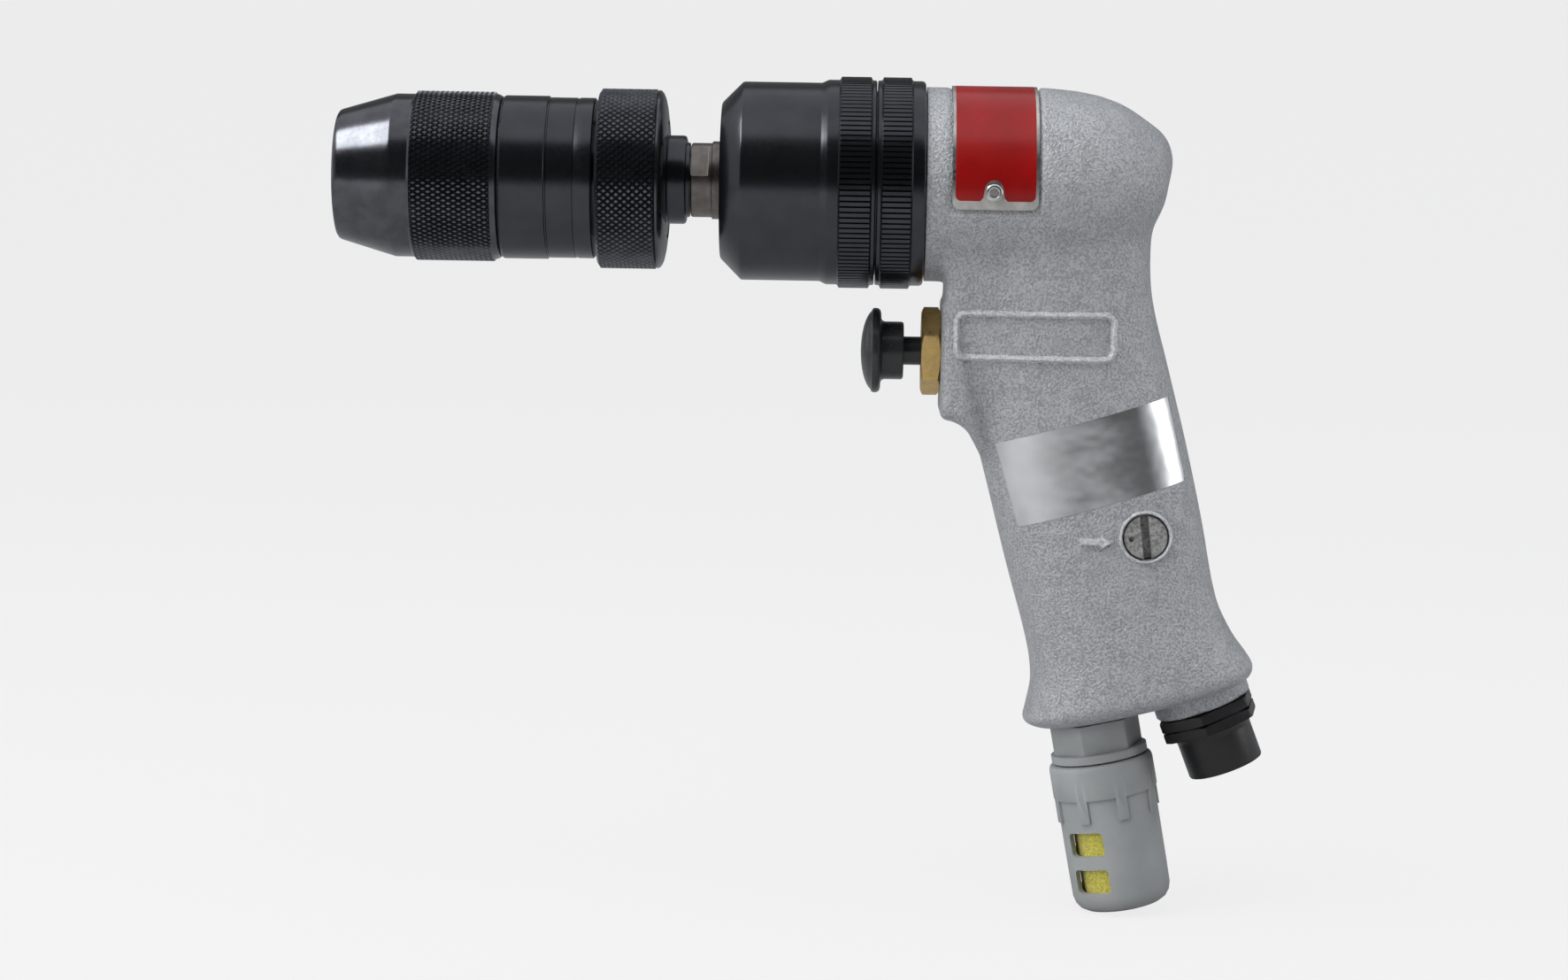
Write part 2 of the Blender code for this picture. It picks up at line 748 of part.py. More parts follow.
def vanes(look):
    middle = (CYLINDER[0] + CYLINDER[1]) / 2
    length = CYLINDER[1] - CYLINDER[0] - 2 * GAP - 0.0002
    for i in range(VANES):
        spin = SPINDLE @ Matrix.Rotation(i * 2 * pi / VANES, 4, "Z")
        size = (VANE_TIP_R - VANE_FOOT_R, VANE_THICK, length)
        at = ((VANE_TIP_R + VANE_FOOT_R) / 2, 0.0, middle)
        box(f"rotor_vane_{i + 1}", size, at, look, spin)


def motor(steel, bright, fibre):
    rotor(bright)
    vanes(fibre)
    cylinder = rod("motor_cylinder", CYLINDER[0], CYLINDER[1], MOTOR_R, steel, SPINDLE, ROUND)
    off_axis = axis_frame((0.0, 0.0, ECCENTRICITY), (1.0, 0.0, 0.0))
    start = CYLINDER[0] - 0.001
    end = CYLINDER[1] + 0.001
    cut(cylinder, rod("cylinder_bore", start, end, CYLINDER_BORE_R, None, off_axis, ROUND))
    cut(cylinder, box("inlet_port", (0.0040, 0.0080, 0.0080), (0.0060, 0.0, -0.0150)))
    cut(cylinder, box("exhaust_port", (0.0070, 0.0120, 0.0080), (-0.0070, 0.0, -0.0150)))
    pocket = BEARING_R + FIT
    play = SHAFT_R + FIT
    front, back = FRONT_PLATE
    outer = [(front, MOTOR_R), (back, MOTOR_R)]
    wall = 0.0014
    inner = [(front, pocket), (back - wall, pocket), (back - wall, play), (back, play)]
    turned("motor_front_plate", outer, inner, steel, SPINDLE, INSIDE)
    tube("front_bearing", front, back - wall - GAP, BEARING_R, play, bright, SPINDLE, INSIDE)
    front, back = REAR_PLATE
    outer = [(front, MOTOR_R), (back, MOTOR_R)]
    inner = [(front, play), (front + wall, play), (front + wall, pocket), (back, pocket)]
    turned("motor_rear_plate", outer, inner, steel, SPINDLE, INSIDE)
    tube("rear_bearing", front + wall + GAP, back, BEARING_R, play, bright, SPINDLE, INSIDE)


# ---------------------------------------------------------------- housing
def grip_point(along, across):
    """World X and Z of a point at a distance along the grip's centre line and across it."""
    x = along * sin(GRIP_LEAN) + across * cos(GRIP_LEAN)
    z = -along * cos(GRIP_LEAN) + across * sin(GRIP_LEAN)
    return x, z


# Sections across the grip: along, front, rear, half width
GRIP_SECTIONS = (
    (-0.0065, 0.0060, 0.0296, 0.0090),
    (-0.0017, -0.0020, 0.0338, 0.0128),
    (0.0032, -0.0070, 0.0340, 0.0148),
    (0.0095, -0.0120, 0.0303, 0.0158),
    (0.0180, -0.0170, 0.0255, 0.0162),
    (0.0301, -0.0205, 0.0229, 0.0163),
    (0.0460, -0.0215, 0.0228, 0.0165),
    (0.0620, -0.0214, 0.0229, 0.0166),
    (0.0800, -0.0213, 0.0225, 0.0168),
    (0.0975, -0.0209, 0.0217, 0.0172),
    (0.1060, -0.0219, 0.0234, 0.0178),
    (0.1120, -0.0246, 0.0258, 0.0182),
    (0.1145, -0.0255, 0.0262, 0.0180),
    (0.1166, -0.0225, 0.0240, 0.0158),
    (0.1173, -0.0190, 0.0200, 0.0130),
)


def grip_ring(along, front, rear, half_width, corner=2.5, count=20):
    """One section of the grip, as points on a rounded rectangle."""
    middle = (front + rear) / 2
    reach = (rear - front) / 2
    points = []
    for i in range(count):
        angle = 2 * pi * i / count
        u = cos(angle)
        v = sin(angle)
        across = middle + reach * abs(u) ** (2 / corner) * (1 if u > 0 else -1)
        x, z = grip_point(along, across)
        points.append((x, half_width * abs(v) ** (2 / corner) * (1 if v > 0 else -1), z))
    return points


def grip_loft(name, look):
    form = bmesh.new()
    rings = [[form.verts.new(p) for p in grip_ring(*section)] for section in GRIP_SECTIONS]
    for upper, lower in zip(rings, rings[1:]):
        for i in range(len(upper)):
            j = (i + 1) % len(upper)
            form.faces.new((upper[i], upper[j], lower[j], lower[i]))
    form.faces.new(rings[0])
    form.faces.new(list(reversed(rings[-1])))
    bmesh.ops.recalc_face_normals(form, faces=form.faces)
    mesh = bpy.data.meshes.new(name)
    form.to_mesh(mesh)
    form.free()
    return add_object(name, mesh, look)


def housing_form(look):
    """The outside: grip, barrel, throttle boss, inlet boss and regulator rim in one casting."""
    casting = grip_loft("housing", look)
    dome = (
        (0.0060, 1.0), (0.0125, 0.972), (0.0172, 0.929), (0.0211, 0.868),
        (0.0250, 0.778), (0.0285, 0.655), (0.0310, 0.50), (0.0322, 0.30),
    )
    barrel = [(BARREL_FRONT, BARREL_R)] + [(x, BARREL_R * share) for x, share in dome]
    fuse(casting, turned("barrel_form", barrel, [], None))
    boss = box(
        "boss_form",
        (0.0140, 2 * BOSS_HALF_WIDTH, 0.0285),
        (BOSS_FACE + 0.0070, 0.0, THROTTLE_Z - 0.0002),
    )
    bevel = boss.modifiers.new("Edges", "BEVEL")
    bevel.width = 0.0025
    bevel.segments = 2
    fuse(casting, boss)
    fuse(casting, rod("inlet_boss_form", -0.0150, INLET_BOSS_FACE, INLET_BOSS_R, None, INLET, 28))
    rim = REGULATOR_R + REGULATOR_RIM
    fuse(casting, rod("regulator_rim_form", REGULATOR_FACE - 0.0002, -0.0080, rim, None, REGULATOR, 28))
    return casting


def barrel_hollow():
    spigot = GEARCASE_SPIGOT_R + FIT
    outline = [
        (BARREL_FRONT - 0.0010, spigot),
        (GEARCASE_SPIGOT_REAR + GAP, spigot),
        (GEARCASE_SPIGOT_REAR + GAP, MOTOR_BORE_R),
        (MOTOR_BORE_REAR, MOTOR_BORE_R),
    ]
    return turned("barrel_bore", outline, [], None)


def throttle_hollow():
    outline = [
        (BOSS_FACE - 0.0010, THROTTLE_BORE_R),
        (BOSS_FACE + 0.0082, THROTTLE_BORE_R),
        (BOSS_FACE + 0.0082, VALVE_BORE_R),
        (VALVE_BORE_REAR, VALVE_BORE_R),
    ]
    return turned("throttle_bore", outline, [], None, THROTTLE, 24)


def air_ways():
    """Cutters for the passages: inlet to valve, valve to motor, and motor to silencer."""
    bore_end = (VALVE_BORE_REAR - 0.0035, 0.0, THROTTLE_Z)
    up_length = (THROTTLE_Z - INLET_AT[2]) / cos(INLET_TILT)
    down_axis = SILENCER_TILT
    top_z = -0.0600
    top_x = SILENCER_AT[0] - (top_z - SILENCER_AT[2]) * sin(down_axis) / cos(down_axis)
    ways = [
        rod("inlet_thread_hole", -0.0104, 0.0010, INLET_THREAD_R + FIT, None, INLET, 24),
        rod("inlet_way", -up_length, -0.0090, PASSAGE_R, None, INLET, 16),
        rod_between("motor_feed", bore_end, (0.0060, 0.0, -0.0150), 0.0030),
        rod("silencer_spot_face", SILENCER_TOP - GAP, 0.0040, SILENCER_HEX_R + 0.0004, None, SILENCER, 32),
        rod("exhaust_thread_hole", -0.0140, 0.0020, SILENCER_THREAD_R + FIT, None, SILENCER, 24),
        rod_between("exhaust_way", (top_x, 0.0, top_z), SILENCER_AT, 0.0068),
    ]
    for side in (-1, 1):
        start = (-0.0070, side * 0.0105, -0.0100)
        end = (top_x - 0.0005, side * 0.0085, top_z - 0.0060)
        ways.append(rod_between(f"exhaust_duct_{side + 2}", start, end, 0.0028))
    return ways


def housing(look):
    casting = housing_form(look)
    recess = tube("plate_recess", PLATE_X[0] - GAP, PLATE_X[1] + GAP, 0.0230, BARREL_R - 0.0006, None)
    low = PLATE_LOW_Z - GAP
    cut(recess, box("plate_recess_limit", (0.050, 0.060, 0.040), (0.0, 0.0, low - 0.020)))
    bore = rod("regulator_bore", -0.0220, REGULATOR_REAR + 0.0005, REGULATOR_R + FIT, None, REGULATOR, 24)
    cut(casting, recess, barrel_hollow(), throttle_hollow(), bore, *air_ways())
    for side in (-1, 1):
        hole = rod(f"rivet_hole_{side + 2}", RIVET_FOOT, 0.0230, RIVET_R + FIT, None, rivet_frame(side), 12)
        cut(casting, hole)
    return casting


def rivet_frame(side):
    return axis_frame((RIVET_AT[0], 0.0, RIVET_AT[1]), (0.0, side, 0.0))


def nameplate(enamel, bright):
    low_r = BARREL_R - PLATE_SEAT
    sheet = tube("nameplate", PLATE_X[0], PLATE_X[1], low_r + PLATE_THICK, low_r, enamel, SPINDLE, 36)
    cut(sheet, box("plate_limit", (0.050, 0.060, 0.040), (0.0, 0.0, PLATE_LOW_Z - 0.020)))
    for side in (-1, 1):
        frame = rivet_frame(side)
        clear = RIVET_HEAD_R - GAP
        hole = rod(f"plate_hole_{side + 2}", RIVET_FOOT, PLATE_CLEAR, clear, None, frame, SMALL)
        cut(sheet, hole)
        head = low_r + PLATE_THICK + 0.0002
        top = head + RIVET_HEAD_HEIGHT
        outline = [
            (RIVET_FOOT + 0.0008, RIVET_R),
            (head, RIVET_R),
            (head, RIVET_HEAD_R),
            (top, RIVET_HEAD_R - 0.0005),
        ]
        turned(f"plate_rivet_{side + 2}", outline, [], bright, frame, 12)


# ---------------------------------------------------------------- throttle
def push_button(look):
    dome = []
    depth = BUTTON_DOME
    steps = 4
    for i in range(steps):
        angle = radians(20 + i * 70 / (steps - 1))
        dome.append((BUTTON_APEX + depth * (1 - cos(angle)), BUTTON_R * sin(angle)))
    outer = dome + [
        (BUTTON_APEX + depth + 0.0008, BUTTON_R - 0.0003),
        (BUTTON_APEX + depth + 0.0013, BUTTON_R - 0.0015),
        (BUTTON_APEX + 0.0046, HUB_R),
        (HUB_REAR, HUB_R),
    ]
    button = turned("push_button", outer, [], look, THROTTLE, 24)
    socket = BUTTON_APEX + BUTTON_SOCKET
    cut(button, rod("button_socket", socket, HUB_REAR + 0.001, STEM_R + FIT, None, THROTTLE, SMALL))
    return button


def throttle(plastic, brass, steel, spring, rubber):
    push_button(plastic)
    tip = 0.0018
    outer = [
        (BUTTON_APEX + BUTTON_SOCKET + GAP, STEM_R),
        (BOSS_FACE + 0.0088, STEM_R),
        (BOSS_FACE + 0.0088, STEM_TIP_R),
        (tip, STEM_TIP_R),
    ]
    turned("valve_stem", outer, [], steel, THROTTLE, 16)
    hex_rear = BOSS_FACE - GAP
    turned_hex = polygon(6, HEX_FLATS / 3**0.5, HEX_TURN)
    bushing = plate("brass_bushing", [turned_hex], HEX_FRONT, hex_rear, brass, THROTTLE)
    thread_end = BOSS_FACE + 0.0078
    thread_r = THROTTLE_BORE_R - FIT
    fuse(bushing, rod("bushing_thread", hex_rear - 0.001, thread_end, thread_r, None, THROTTLE, ROUND))
    bore = rod("bushing_bore", HEX_FRONT - 0.001, BOSS_FACE + 0.0090, STEM_R + FIT, None, THROTTLE, SMALL)
    cut(bushing, bore)
    seat = (BOSS_FACE + 0.0125, BOSS_FACE + 0.0176)
    tube("valve_seat", seat[0], seat[1], VALVE_BORE_R - FIT, 0.0023, rubber, THROTTLE, 20)
    poppet = tip + GAP
    outer = [
        (poppet, POPPET_R - 0.0006),
        (poppet + 0.0020, POPPET_R),
        (poppet + 0.0030, POPPET_R),
        (poppet + 0.0030, STEM_TIP_R),
        (poppet + 0.0048, STEM_TIP_R),
    ]
    turned("valve_poppet", outer, [], steel, THROTTLE, 20)
    start = poppet + 0.0030 + GAP
    coil("valve_spring", start, VALVE_BORE_REAR - GAP, 0.0031, 0.0004, 4.5, spring, THROTTLE, 8)


# ---------------------------------------------------------------- regulator
def regulator(brass):
    plug = rod("regulator_plug", REGULATOR_FACE, REGULATOR_REAR, REGULATOR_R, brass, REGULATOR, 28)
    spin = REGULATOR @ Matrix.Rotation(REGULATOR_SLOT_TURN, 4, "Z")
    cut(plug, box("regulator_slot", (0.0120, 0.0011, 0.0030), (0.0, 0.0, REGULATOR_FACE), None, spin))
    cross = Matrix.Translation(Vector((REGULATOR_AT[0], 0.0, REGULATOR_AT[1])))
    along = cross @ Matrix.Rotation(pi - INLET_TILT, 4, "Y")
    cut(plug, rod("regulator_port", -0.0080, 0.0080, 0.0030, None, along, 16))
    return plug


# ---------------------------------------------------------------- silencer and inlet
def silencer(plastic, felt):
    top = SILENCER_TOP
    flange_start, flange_end = SILENCER_FLANGE
    hexagon = polygon(6, SILENCER_HEX_R, radians(-8.0))
    adapter = plate("silencer_adapter", [hexagon], top, flange_start + 0.0005, plastic, SILENCER)
    outline = [
        (-0.0120, SILENCER_THREAD_R),
        (flange_start, SILENCER_THREAD_R),
        (flange_start, 0.0107),
        (flange_end, 0.0107),
        (flange_end, 0.0092),
        (flange_end + 0.0040, 0.0092),
    ]
    fuse(adapter, turned("adapter_form", outline, [], None, SILENCER))
    cut(adapter, rod("adapter_bore", -0.0130, 0.0100, 0.0055, None, SILENCER, 20))
    start = flange_end + 0.0005
    outer = [
        (start, SILENCER_R - 0.0009),
        (start + 0.0010, SILENCER_R),
        (0.0132, SILENCER_R),
        (0.0134, SILENCER_R - 0.0002),
        (SILENCER_END - 0.0034, SILENCER_R - 0.0007),
        (SILENCER_END - 0.0012, SILENCER_R - 0.0018),
        (SILENCER_END, SILENCER_R - 0.0042),
    ]
    wall = 0.0017
    bore = SILENCER_R - wall
    floor = SILENCER_END - wall
    inner = [(start, bore), (floor, bore), (floor, 0.0)]
    case = turned("silencer_case", outer, [], plastic, SILENCER)
    cut(case, rod("case_hollow", start - 0.001, floor, bore, None, SILENCER, ROUND))
    for row, at in enumerate(WINDOW_ROWS):
        for column, turn in enumerate(WINDOW_TURNS):
            spin = SILENCER @ Matrix.Rotation(turn, 4, "Z")
            size = (0.0060, WINDOW_WIDTH, WINDOW_HEIGHT)
            name = f"window_{row + 1}_{column + 1}"
            cut(case, box(name, size, (SILENCER_R - 0.0010, 0.0, at), None, spin))
    tube("silencer_element", flange_end + 0.0043, floor - GAP, 0.0084, 0.0050, felt, SILENCER, 28)


def air_inlet(black, screen):
    hexagon = polygon(6, INLET_HEX_R, INLET_HEX_TURN)
    top = INLET_BOSS_FACE + GAP
    bushing = plate("inlet_bushing", [hexagon], top, INLET_HEX_END, black, INLET)
    fuse(bushing, rod("inlet_thread", -0.0098, top + 0.001, INLET_THREAD_R, None, INLET, 28))
    cut(bushing, rod("inlet_bushing_bore", -0.0110, 0.0060, 0.0055, None, INLET, 20))
    start = INLET_HEX_END + GAP
    outer = [(-0.0030, 0.0052), (start, 0.0052), (start, ADAPTER_R), (ADAPTER_END, ADAPTER_R)]
    shoulder = start + 0.0022
    inner = [
        (-0.0030, 0.0036),
        (shoulder, 0.0036),
        (shoulder, ADAPTER_BORE_R),
        (ADAPTER_END, ADAPTER_BORE_R),
    ]
    turned("hose_adapter", outer, inner, black, INLET)
    outer = [(-0.0095, 0.0030), (-0.0090, 0.0050), (-0.0033, 0.0050)]
    inner = [(-0.0090, 0.0028), (-0.0088, 0.0046), (-0.0033, 0.0046)]
    cup = turned("inlet_screen", outer, [], screen, INLET, 20)
    cut(cup, rod("screen_hollow", -0.0089, -0.0020, 0.0045, None, INLET, 20))


# ---------------------------------------------------------------- object
def build():
    black = material("black_oxide_steel", (0.035, 0.037, 0.042), 0.38, 0.85)
    bright = material("bright_steel", (0.55, 0.54, 0.52), 0.30, 1.0)
    steel = material("gear_steel", (0.30, 0.30, 0.31), 0.35, 1.0)
    casting = material("hammered_paint", (0.50, 0.51, 0.53), 0.42, 0.5)
    enamel = material("red_enamel", (0.60, 0.015, 0.02), 0.3)
    brass = material("brass", (0.72, 0.50, 0.20), 0.28, 1.0)
    charcoal = material("charcoal_plastic", (0.045, 0.048, 0.052), 0.25)
    grey = material("grey_plastic", (0.36, 0.38, 0.38), 0.5)
    felt = material("yellow_felt", (0.72, 0.66, 0.16), 0.9)
    rubber = material("black_rubber", (0.02, 0.02, 0.02), 0.7)
    fibre = material("vane_fibre", (0.30, 0.16, 0.07), 0.6)
    bronze = material("bushing_bronze", (0.55, 0.36, 0.16), 0.4, 1.0)
    spring = material("spring_steel", (0.42, 0.42, 0.44), 0.3, 1.0)
    chuck(black, bright)
    output_spindle(bright)
    clutch_parts(steel, bronze, spring)
    clutch_case(black)
    gear_case(black)
    gears(steel)
    carrier(steel, bright)
    motor(steel, bright, fibre)
    housing(casting)
    nameplate(enamel, bright)
    throttle(charcoal, brass, bright, spring, rubber)
    regulator(steel)
    silencer(grey, felt)
    air_inlet(black, bright)


clear_scene()
PARTS = collection("pistol_grip_driver")
CUTTERS = collection("cutters")
CUTTERS.hide_render = True
build()
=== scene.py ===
"""Looks of a pneumatic pistol-grip driver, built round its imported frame.

World frame: X runs along the spindle, from the chuck (-X) to the motor (+X), Y is the
width and Z is up. Every piece is modelled in place, in metres.
"""

import json
from math import atan2, cos, hypot, pi, radians, sin, tan

import bmesh
import bpy
import numpy as np
from mathutils import Matrix, Vector
from mathutils.bvhtree import BVHTree

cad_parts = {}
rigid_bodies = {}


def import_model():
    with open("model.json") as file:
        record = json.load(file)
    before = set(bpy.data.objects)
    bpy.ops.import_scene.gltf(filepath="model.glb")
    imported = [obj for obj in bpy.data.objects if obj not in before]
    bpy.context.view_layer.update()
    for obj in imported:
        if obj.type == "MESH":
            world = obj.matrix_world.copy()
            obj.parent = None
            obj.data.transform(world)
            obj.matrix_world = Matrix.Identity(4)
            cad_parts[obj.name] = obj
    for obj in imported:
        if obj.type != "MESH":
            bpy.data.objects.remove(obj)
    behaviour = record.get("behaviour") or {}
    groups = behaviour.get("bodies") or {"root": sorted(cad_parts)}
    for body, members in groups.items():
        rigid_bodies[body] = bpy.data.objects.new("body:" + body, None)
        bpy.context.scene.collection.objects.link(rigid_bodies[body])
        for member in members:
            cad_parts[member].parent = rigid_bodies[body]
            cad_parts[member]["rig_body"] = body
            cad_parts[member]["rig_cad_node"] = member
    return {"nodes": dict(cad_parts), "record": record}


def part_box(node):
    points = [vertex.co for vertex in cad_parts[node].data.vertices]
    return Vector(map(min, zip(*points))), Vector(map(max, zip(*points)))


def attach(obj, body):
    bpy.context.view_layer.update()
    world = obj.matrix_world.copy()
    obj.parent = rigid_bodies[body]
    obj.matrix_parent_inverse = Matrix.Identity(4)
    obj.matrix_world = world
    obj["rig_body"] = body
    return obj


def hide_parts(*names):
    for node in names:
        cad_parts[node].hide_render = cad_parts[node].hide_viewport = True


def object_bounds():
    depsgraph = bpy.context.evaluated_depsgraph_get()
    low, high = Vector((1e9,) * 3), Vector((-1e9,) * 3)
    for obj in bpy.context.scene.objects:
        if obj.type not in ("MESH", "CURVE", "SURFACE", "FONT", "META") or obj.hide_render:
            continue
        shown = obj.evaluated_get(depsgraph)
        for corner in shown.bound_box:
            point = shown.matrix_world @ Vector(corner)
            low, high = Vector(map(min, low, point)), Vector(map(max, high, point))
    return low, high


bl_info = {
    "name": "Pistol Grip Driver",
    "version": (1, 0, 0),
    "blender": (4, 5, 0),
    "location": "View3D > Sidebar > Driver",
    "description": "Models the outside, the finishes and the studio of a pneumatic driver",
    "category": "Add Mesh",
}

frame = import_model()
CAD_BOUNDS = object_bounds()
MM = 0.001


# ---------------------------------------------------------------- places from the frame
def ends(node):
    """First and last X of a node."""
    low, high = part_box(node)
    return low.x, high.x


def reach(node):
    """Outside radius of a turned node on the spindle axis."""
    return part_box(node)[1].z


def centre(node):
    low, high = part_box(node)
    return (low + high) / 2


def mount(name):
    """Place and direction of one of the record's mounts."""
    found = next(m for m in frame["record"]["mounts"] if m["name"] == name)
    return Vector(found["pos_m"]), Vector(found["axis"])


def down_frame(at, tilt):
    """A frame whose Z points down and leans to +X, and whose X looks to -X."""
    return Matrix.Translation(at) @ Matrix.Rotation(pi - tilt, 4, "Y")


SILENCER_TILT = radians(10.6)
SILENCER_MIDDLE = 22.65 * MM  # station of the felt tube's middle
ADAPTER_END = 14.2 * MM  # station of the hose adapter's end
THROTTLE_FACE = -16.0 * MM  # X of the throttle boss's machined face

ALONG_X = Matrix.Rotation(pi / 2, 4, "Y")
SPINDLE = ALONG_X
THROTTLE = Matrix.Translation((0.0, 0.0, centre("valve_stem").z)) @ ALONG_X
REGULATOR_AT = centre("regulator_plug")
REGULATOR = Matrix.Translation((REGULATOR_AT.x, 0.0, REGULATOR_AT.z)) @ Matrix.Rotation(-pi / 2, 4, "X")
SILENCER_AXIS = Vector((sin(SILENCER_TILT), 0.0, -cos(SILENCER_TILT)))
SILENCER = down_frame(centre("silencer_element") - SILENCER_AXIS * SILENCER_MIDDLE, SILENCER_TILT)
ADAPTER_FACE, INLET_AXIS = mount("hose_adapter_end")
INLET_TILT = atan2(INLET_AXIS.x, -INLET_AXIS.z)
INLET_AT = ADAPTER_FACE - INLET_AXIS * ADAPTER_END
INLET = down_frame(Vector((INLET_AT.x, 0.0, INLET_AT.z)), INLET_TILT)


# ---------------------------------------------------------------- sizes and colours a user may change
def length(name, value, low, high, description):
    return bpy.props.FloatProperty(
        name=name, default=value * MM, min=low * MM, max=high * MM,
        unit="LENGTH", precision=5, description=description,
    )


def tint(name, value, description):
    return bpy.props.FloatVectorProperty(
        name=name, subtype="COLOR", size=3, min=0.0, max=1.0,
        default=value, description=description,
    )


class DriverSizes(bpy.types.PropertyGroup):
    knurl_depth: length("Chuck knurl depth", 0.42, 0.05, 0.45, "Height of the chuck's diamond knurls")
    grip_knurl_depth: length("Case knurl depth", 0.42, 0.05, 0.60, "Height of the cases' straight knurls")
    casting_grain: length("Casting grain", 0.60, 0.40, 1.50, "Voxel size that the casting is remeshed at")
    bead_height: length("Bead height", 0.95, 0.05, 1.20, "Height of the raised frame on the casting")
    bead_width: length("Bead width", 1.60, 0.60, 3.00, "Width of the raised frame on the casting")
    label_thickness: length("Label thickness", 0.08, 0.02, 0.30, "Thickness of the foil label")
    camera_distance: bpy.props.FloatProperty(
        name="Camera distance", default=0.822, min=0.3, max=3.0,
        unit="LENGTH", description="From the camera to the tool's middle plane",
    )


class DriverColours(bpy.types.PropertyGroup):
    casting: tint("Casting", (0.430, 0.443, 0.462), "Silver hammered paint of the casting")
    oxide: tint("Oxide", (0.062, 0.065, 0.072), "Blackened steel of the chuck and cases")
    enamel: tint("Enamel", (0.235, 0.004, 0.004), "Red enamel of the nameplate")
    brass: tint("Brass", (0.720, 0.500, 0.190), "Throttle bushing")
    grey: tint("Grey plastic", (0.300, 0.315, 0.318), "Silencer case and adapter")
    felt: tint("Felt", (0.720, 0.650, 0.120), "Silencer element")


# ---------------------------------------------------------------- modelling by hand, in code
def deselect():
    if bpy.context.mode != "OBJECT":
        bpy.ops.object.mode_set(mode="OBJECT")
    bpy.ops.object.select_all(action="DESELECT")


def only(obj):
    deselect()
    obj.select_set(True)
    bpy.context.view_layer.objects.active = obj


def edit(obj):
    only(obj)
    bpy.ops.object.mode_set(mode="EDIT")


def done():
    bpy.ops.object.mode_set(mode="OBJECT")


def pick(obj, kind, test):
    """Selects the vertices, edges or faces of the object in edit mode that pass a test."""
    bpy.ops.mesh.select_all(action="DESELECT")
    bpy.ops.mesh.select_mode(type={"verts": "VERT", "edges": "EDGE", "faces": "FACE"}[kind])
    form = bmesh.from_edit_mesh(obj.data)
    for item in getattr(form, kind):
        item.select_set(bool(test(item)))
    form.select_flush_mode()
    bmesh.update_edit_mesh(obj.data)


def renamed(name):
    obj = bpy.context.object
    obj.name = name
    obj.data.name = name
    return obj


def placed(obj, stand):
    """Moves the mesh into its place, and leaves the object at the origin."""
    only(obj)
    bpy.ops.object.transform_apply(location=True, rotation=True, scale=True)
    obj.data.transform(stand)
    return obj


def tidy(obj, merge=1e-7):
    edit(obj)
    bpy.ops.mesh.select_all(action="SELECT")
    bpy.ops.mesh.remove_doubles(threshold=merge)
    bpy.ops.mesh.normals_make_consistent(inside=False)
    done()


def applied(obj, kind, **settings):
    only(obj)
    modifier = obj.modifiers.new(kind.title(), kind)
    for key, value in settings.items():
        setattr(modifier, key, value)
    bpy.ops.object.modifier_apply(modifier=modifier.name)
    return obj


def joined_by(obj, other, operation, solver="EXACT"):
    applied(obj, "BOOLEAN", object=other, operation=operation, solver=solver)
    bpy.data.objects.remove(other, do_unlink=True)
    return obj


def carve(obj, *tools, solver="EXACT"):
    for tool in tools:
        joined_by(obj, tool, "DIFFERENCE", solver)
    return obj


def add(obj, *others, solver="EXACT"):
    for other in others:
        joined_by(obj, other, "UNION", solver)
    return obj


def near(station, radius, *offsets):
    """Outline points near a station and a radius, with their offsets in millimetres."""
    return [(station + along * MM, radius + out * MM) for along, out in offsets]


def mm(*points):
    """Outline points given in millimetres."""
    return near(0.0, 0.0, *points)


def turned(name, outline, stand, steps=96, closed=False):
    """A turned piece: a point is walked along the outline of (station, radius), then spun."""
    deselect()
    bpy.ops.mesh.primitive_plane_add(size=MM)
    obj = renamed(name)
    bpy.ops.object.mode_set(mode="EDIT")
    bpy.ops.mesh.select_mode(type="VERT")
    bpy.ops.mesh.select_all(action="SELECT")
    bpy.ops.mesh.merge(type="CENTER")
    bpy.ops.transform.translate(value=(outline[0][1], 0.0, outline[0][0]))
    for (a_at, a_r), (b_at, b_r) in zip(outline, outline[1:]):
        step = (b_r - a_r, 0.0, b_at - a_at)
        bpy.ops.mesh.extrude_vertices_move(TRANSFORM_OT_translate={"value": step})
    if closed:
        pick(obj, "verts", lambda vertex: len(vertex.link_edges) == 1)
        bpy.ops.mesh.edge_face_add()
    bpy.ops.mesh.select_all(action="SELECT")
    bpy.ops.mesh.spin(steps=steps, angle=2 * pi, center=(0, 0, 0), axis=(0, 0, 1))
    done()
    tidy(obj)
    return placed(obj, stand) if stand else obj


def rod(name, start, end, radius, stand, steps=48):
    return turned(name, [(start, 0.0), (start, radius), (end, radius), (end, 0.0)], stand, steps)


def block(name, size, at, stand=None, bevel=0.0, segments=3):
    """A box with its edges rounded."""
    deselect()
    bpy.ops.mesh.primitive_cube_add(size=1.0)
    obj = renamed(name)
    obj.scale = size
    bpy.ops.object.transform_apply(scale=True)
    if bevel:
        edit(obj)
        bpy.ops.mesh.select_all(action="SELECT")
        bpy.ops.mesh.bevel(offset=bevel, segments=segments, profile=0.5, affect="EDGES")
        done()
    obj.data.transform(Matrix.Translation(at))
    if stand:
        obj.data.transform(stand)
    return obj


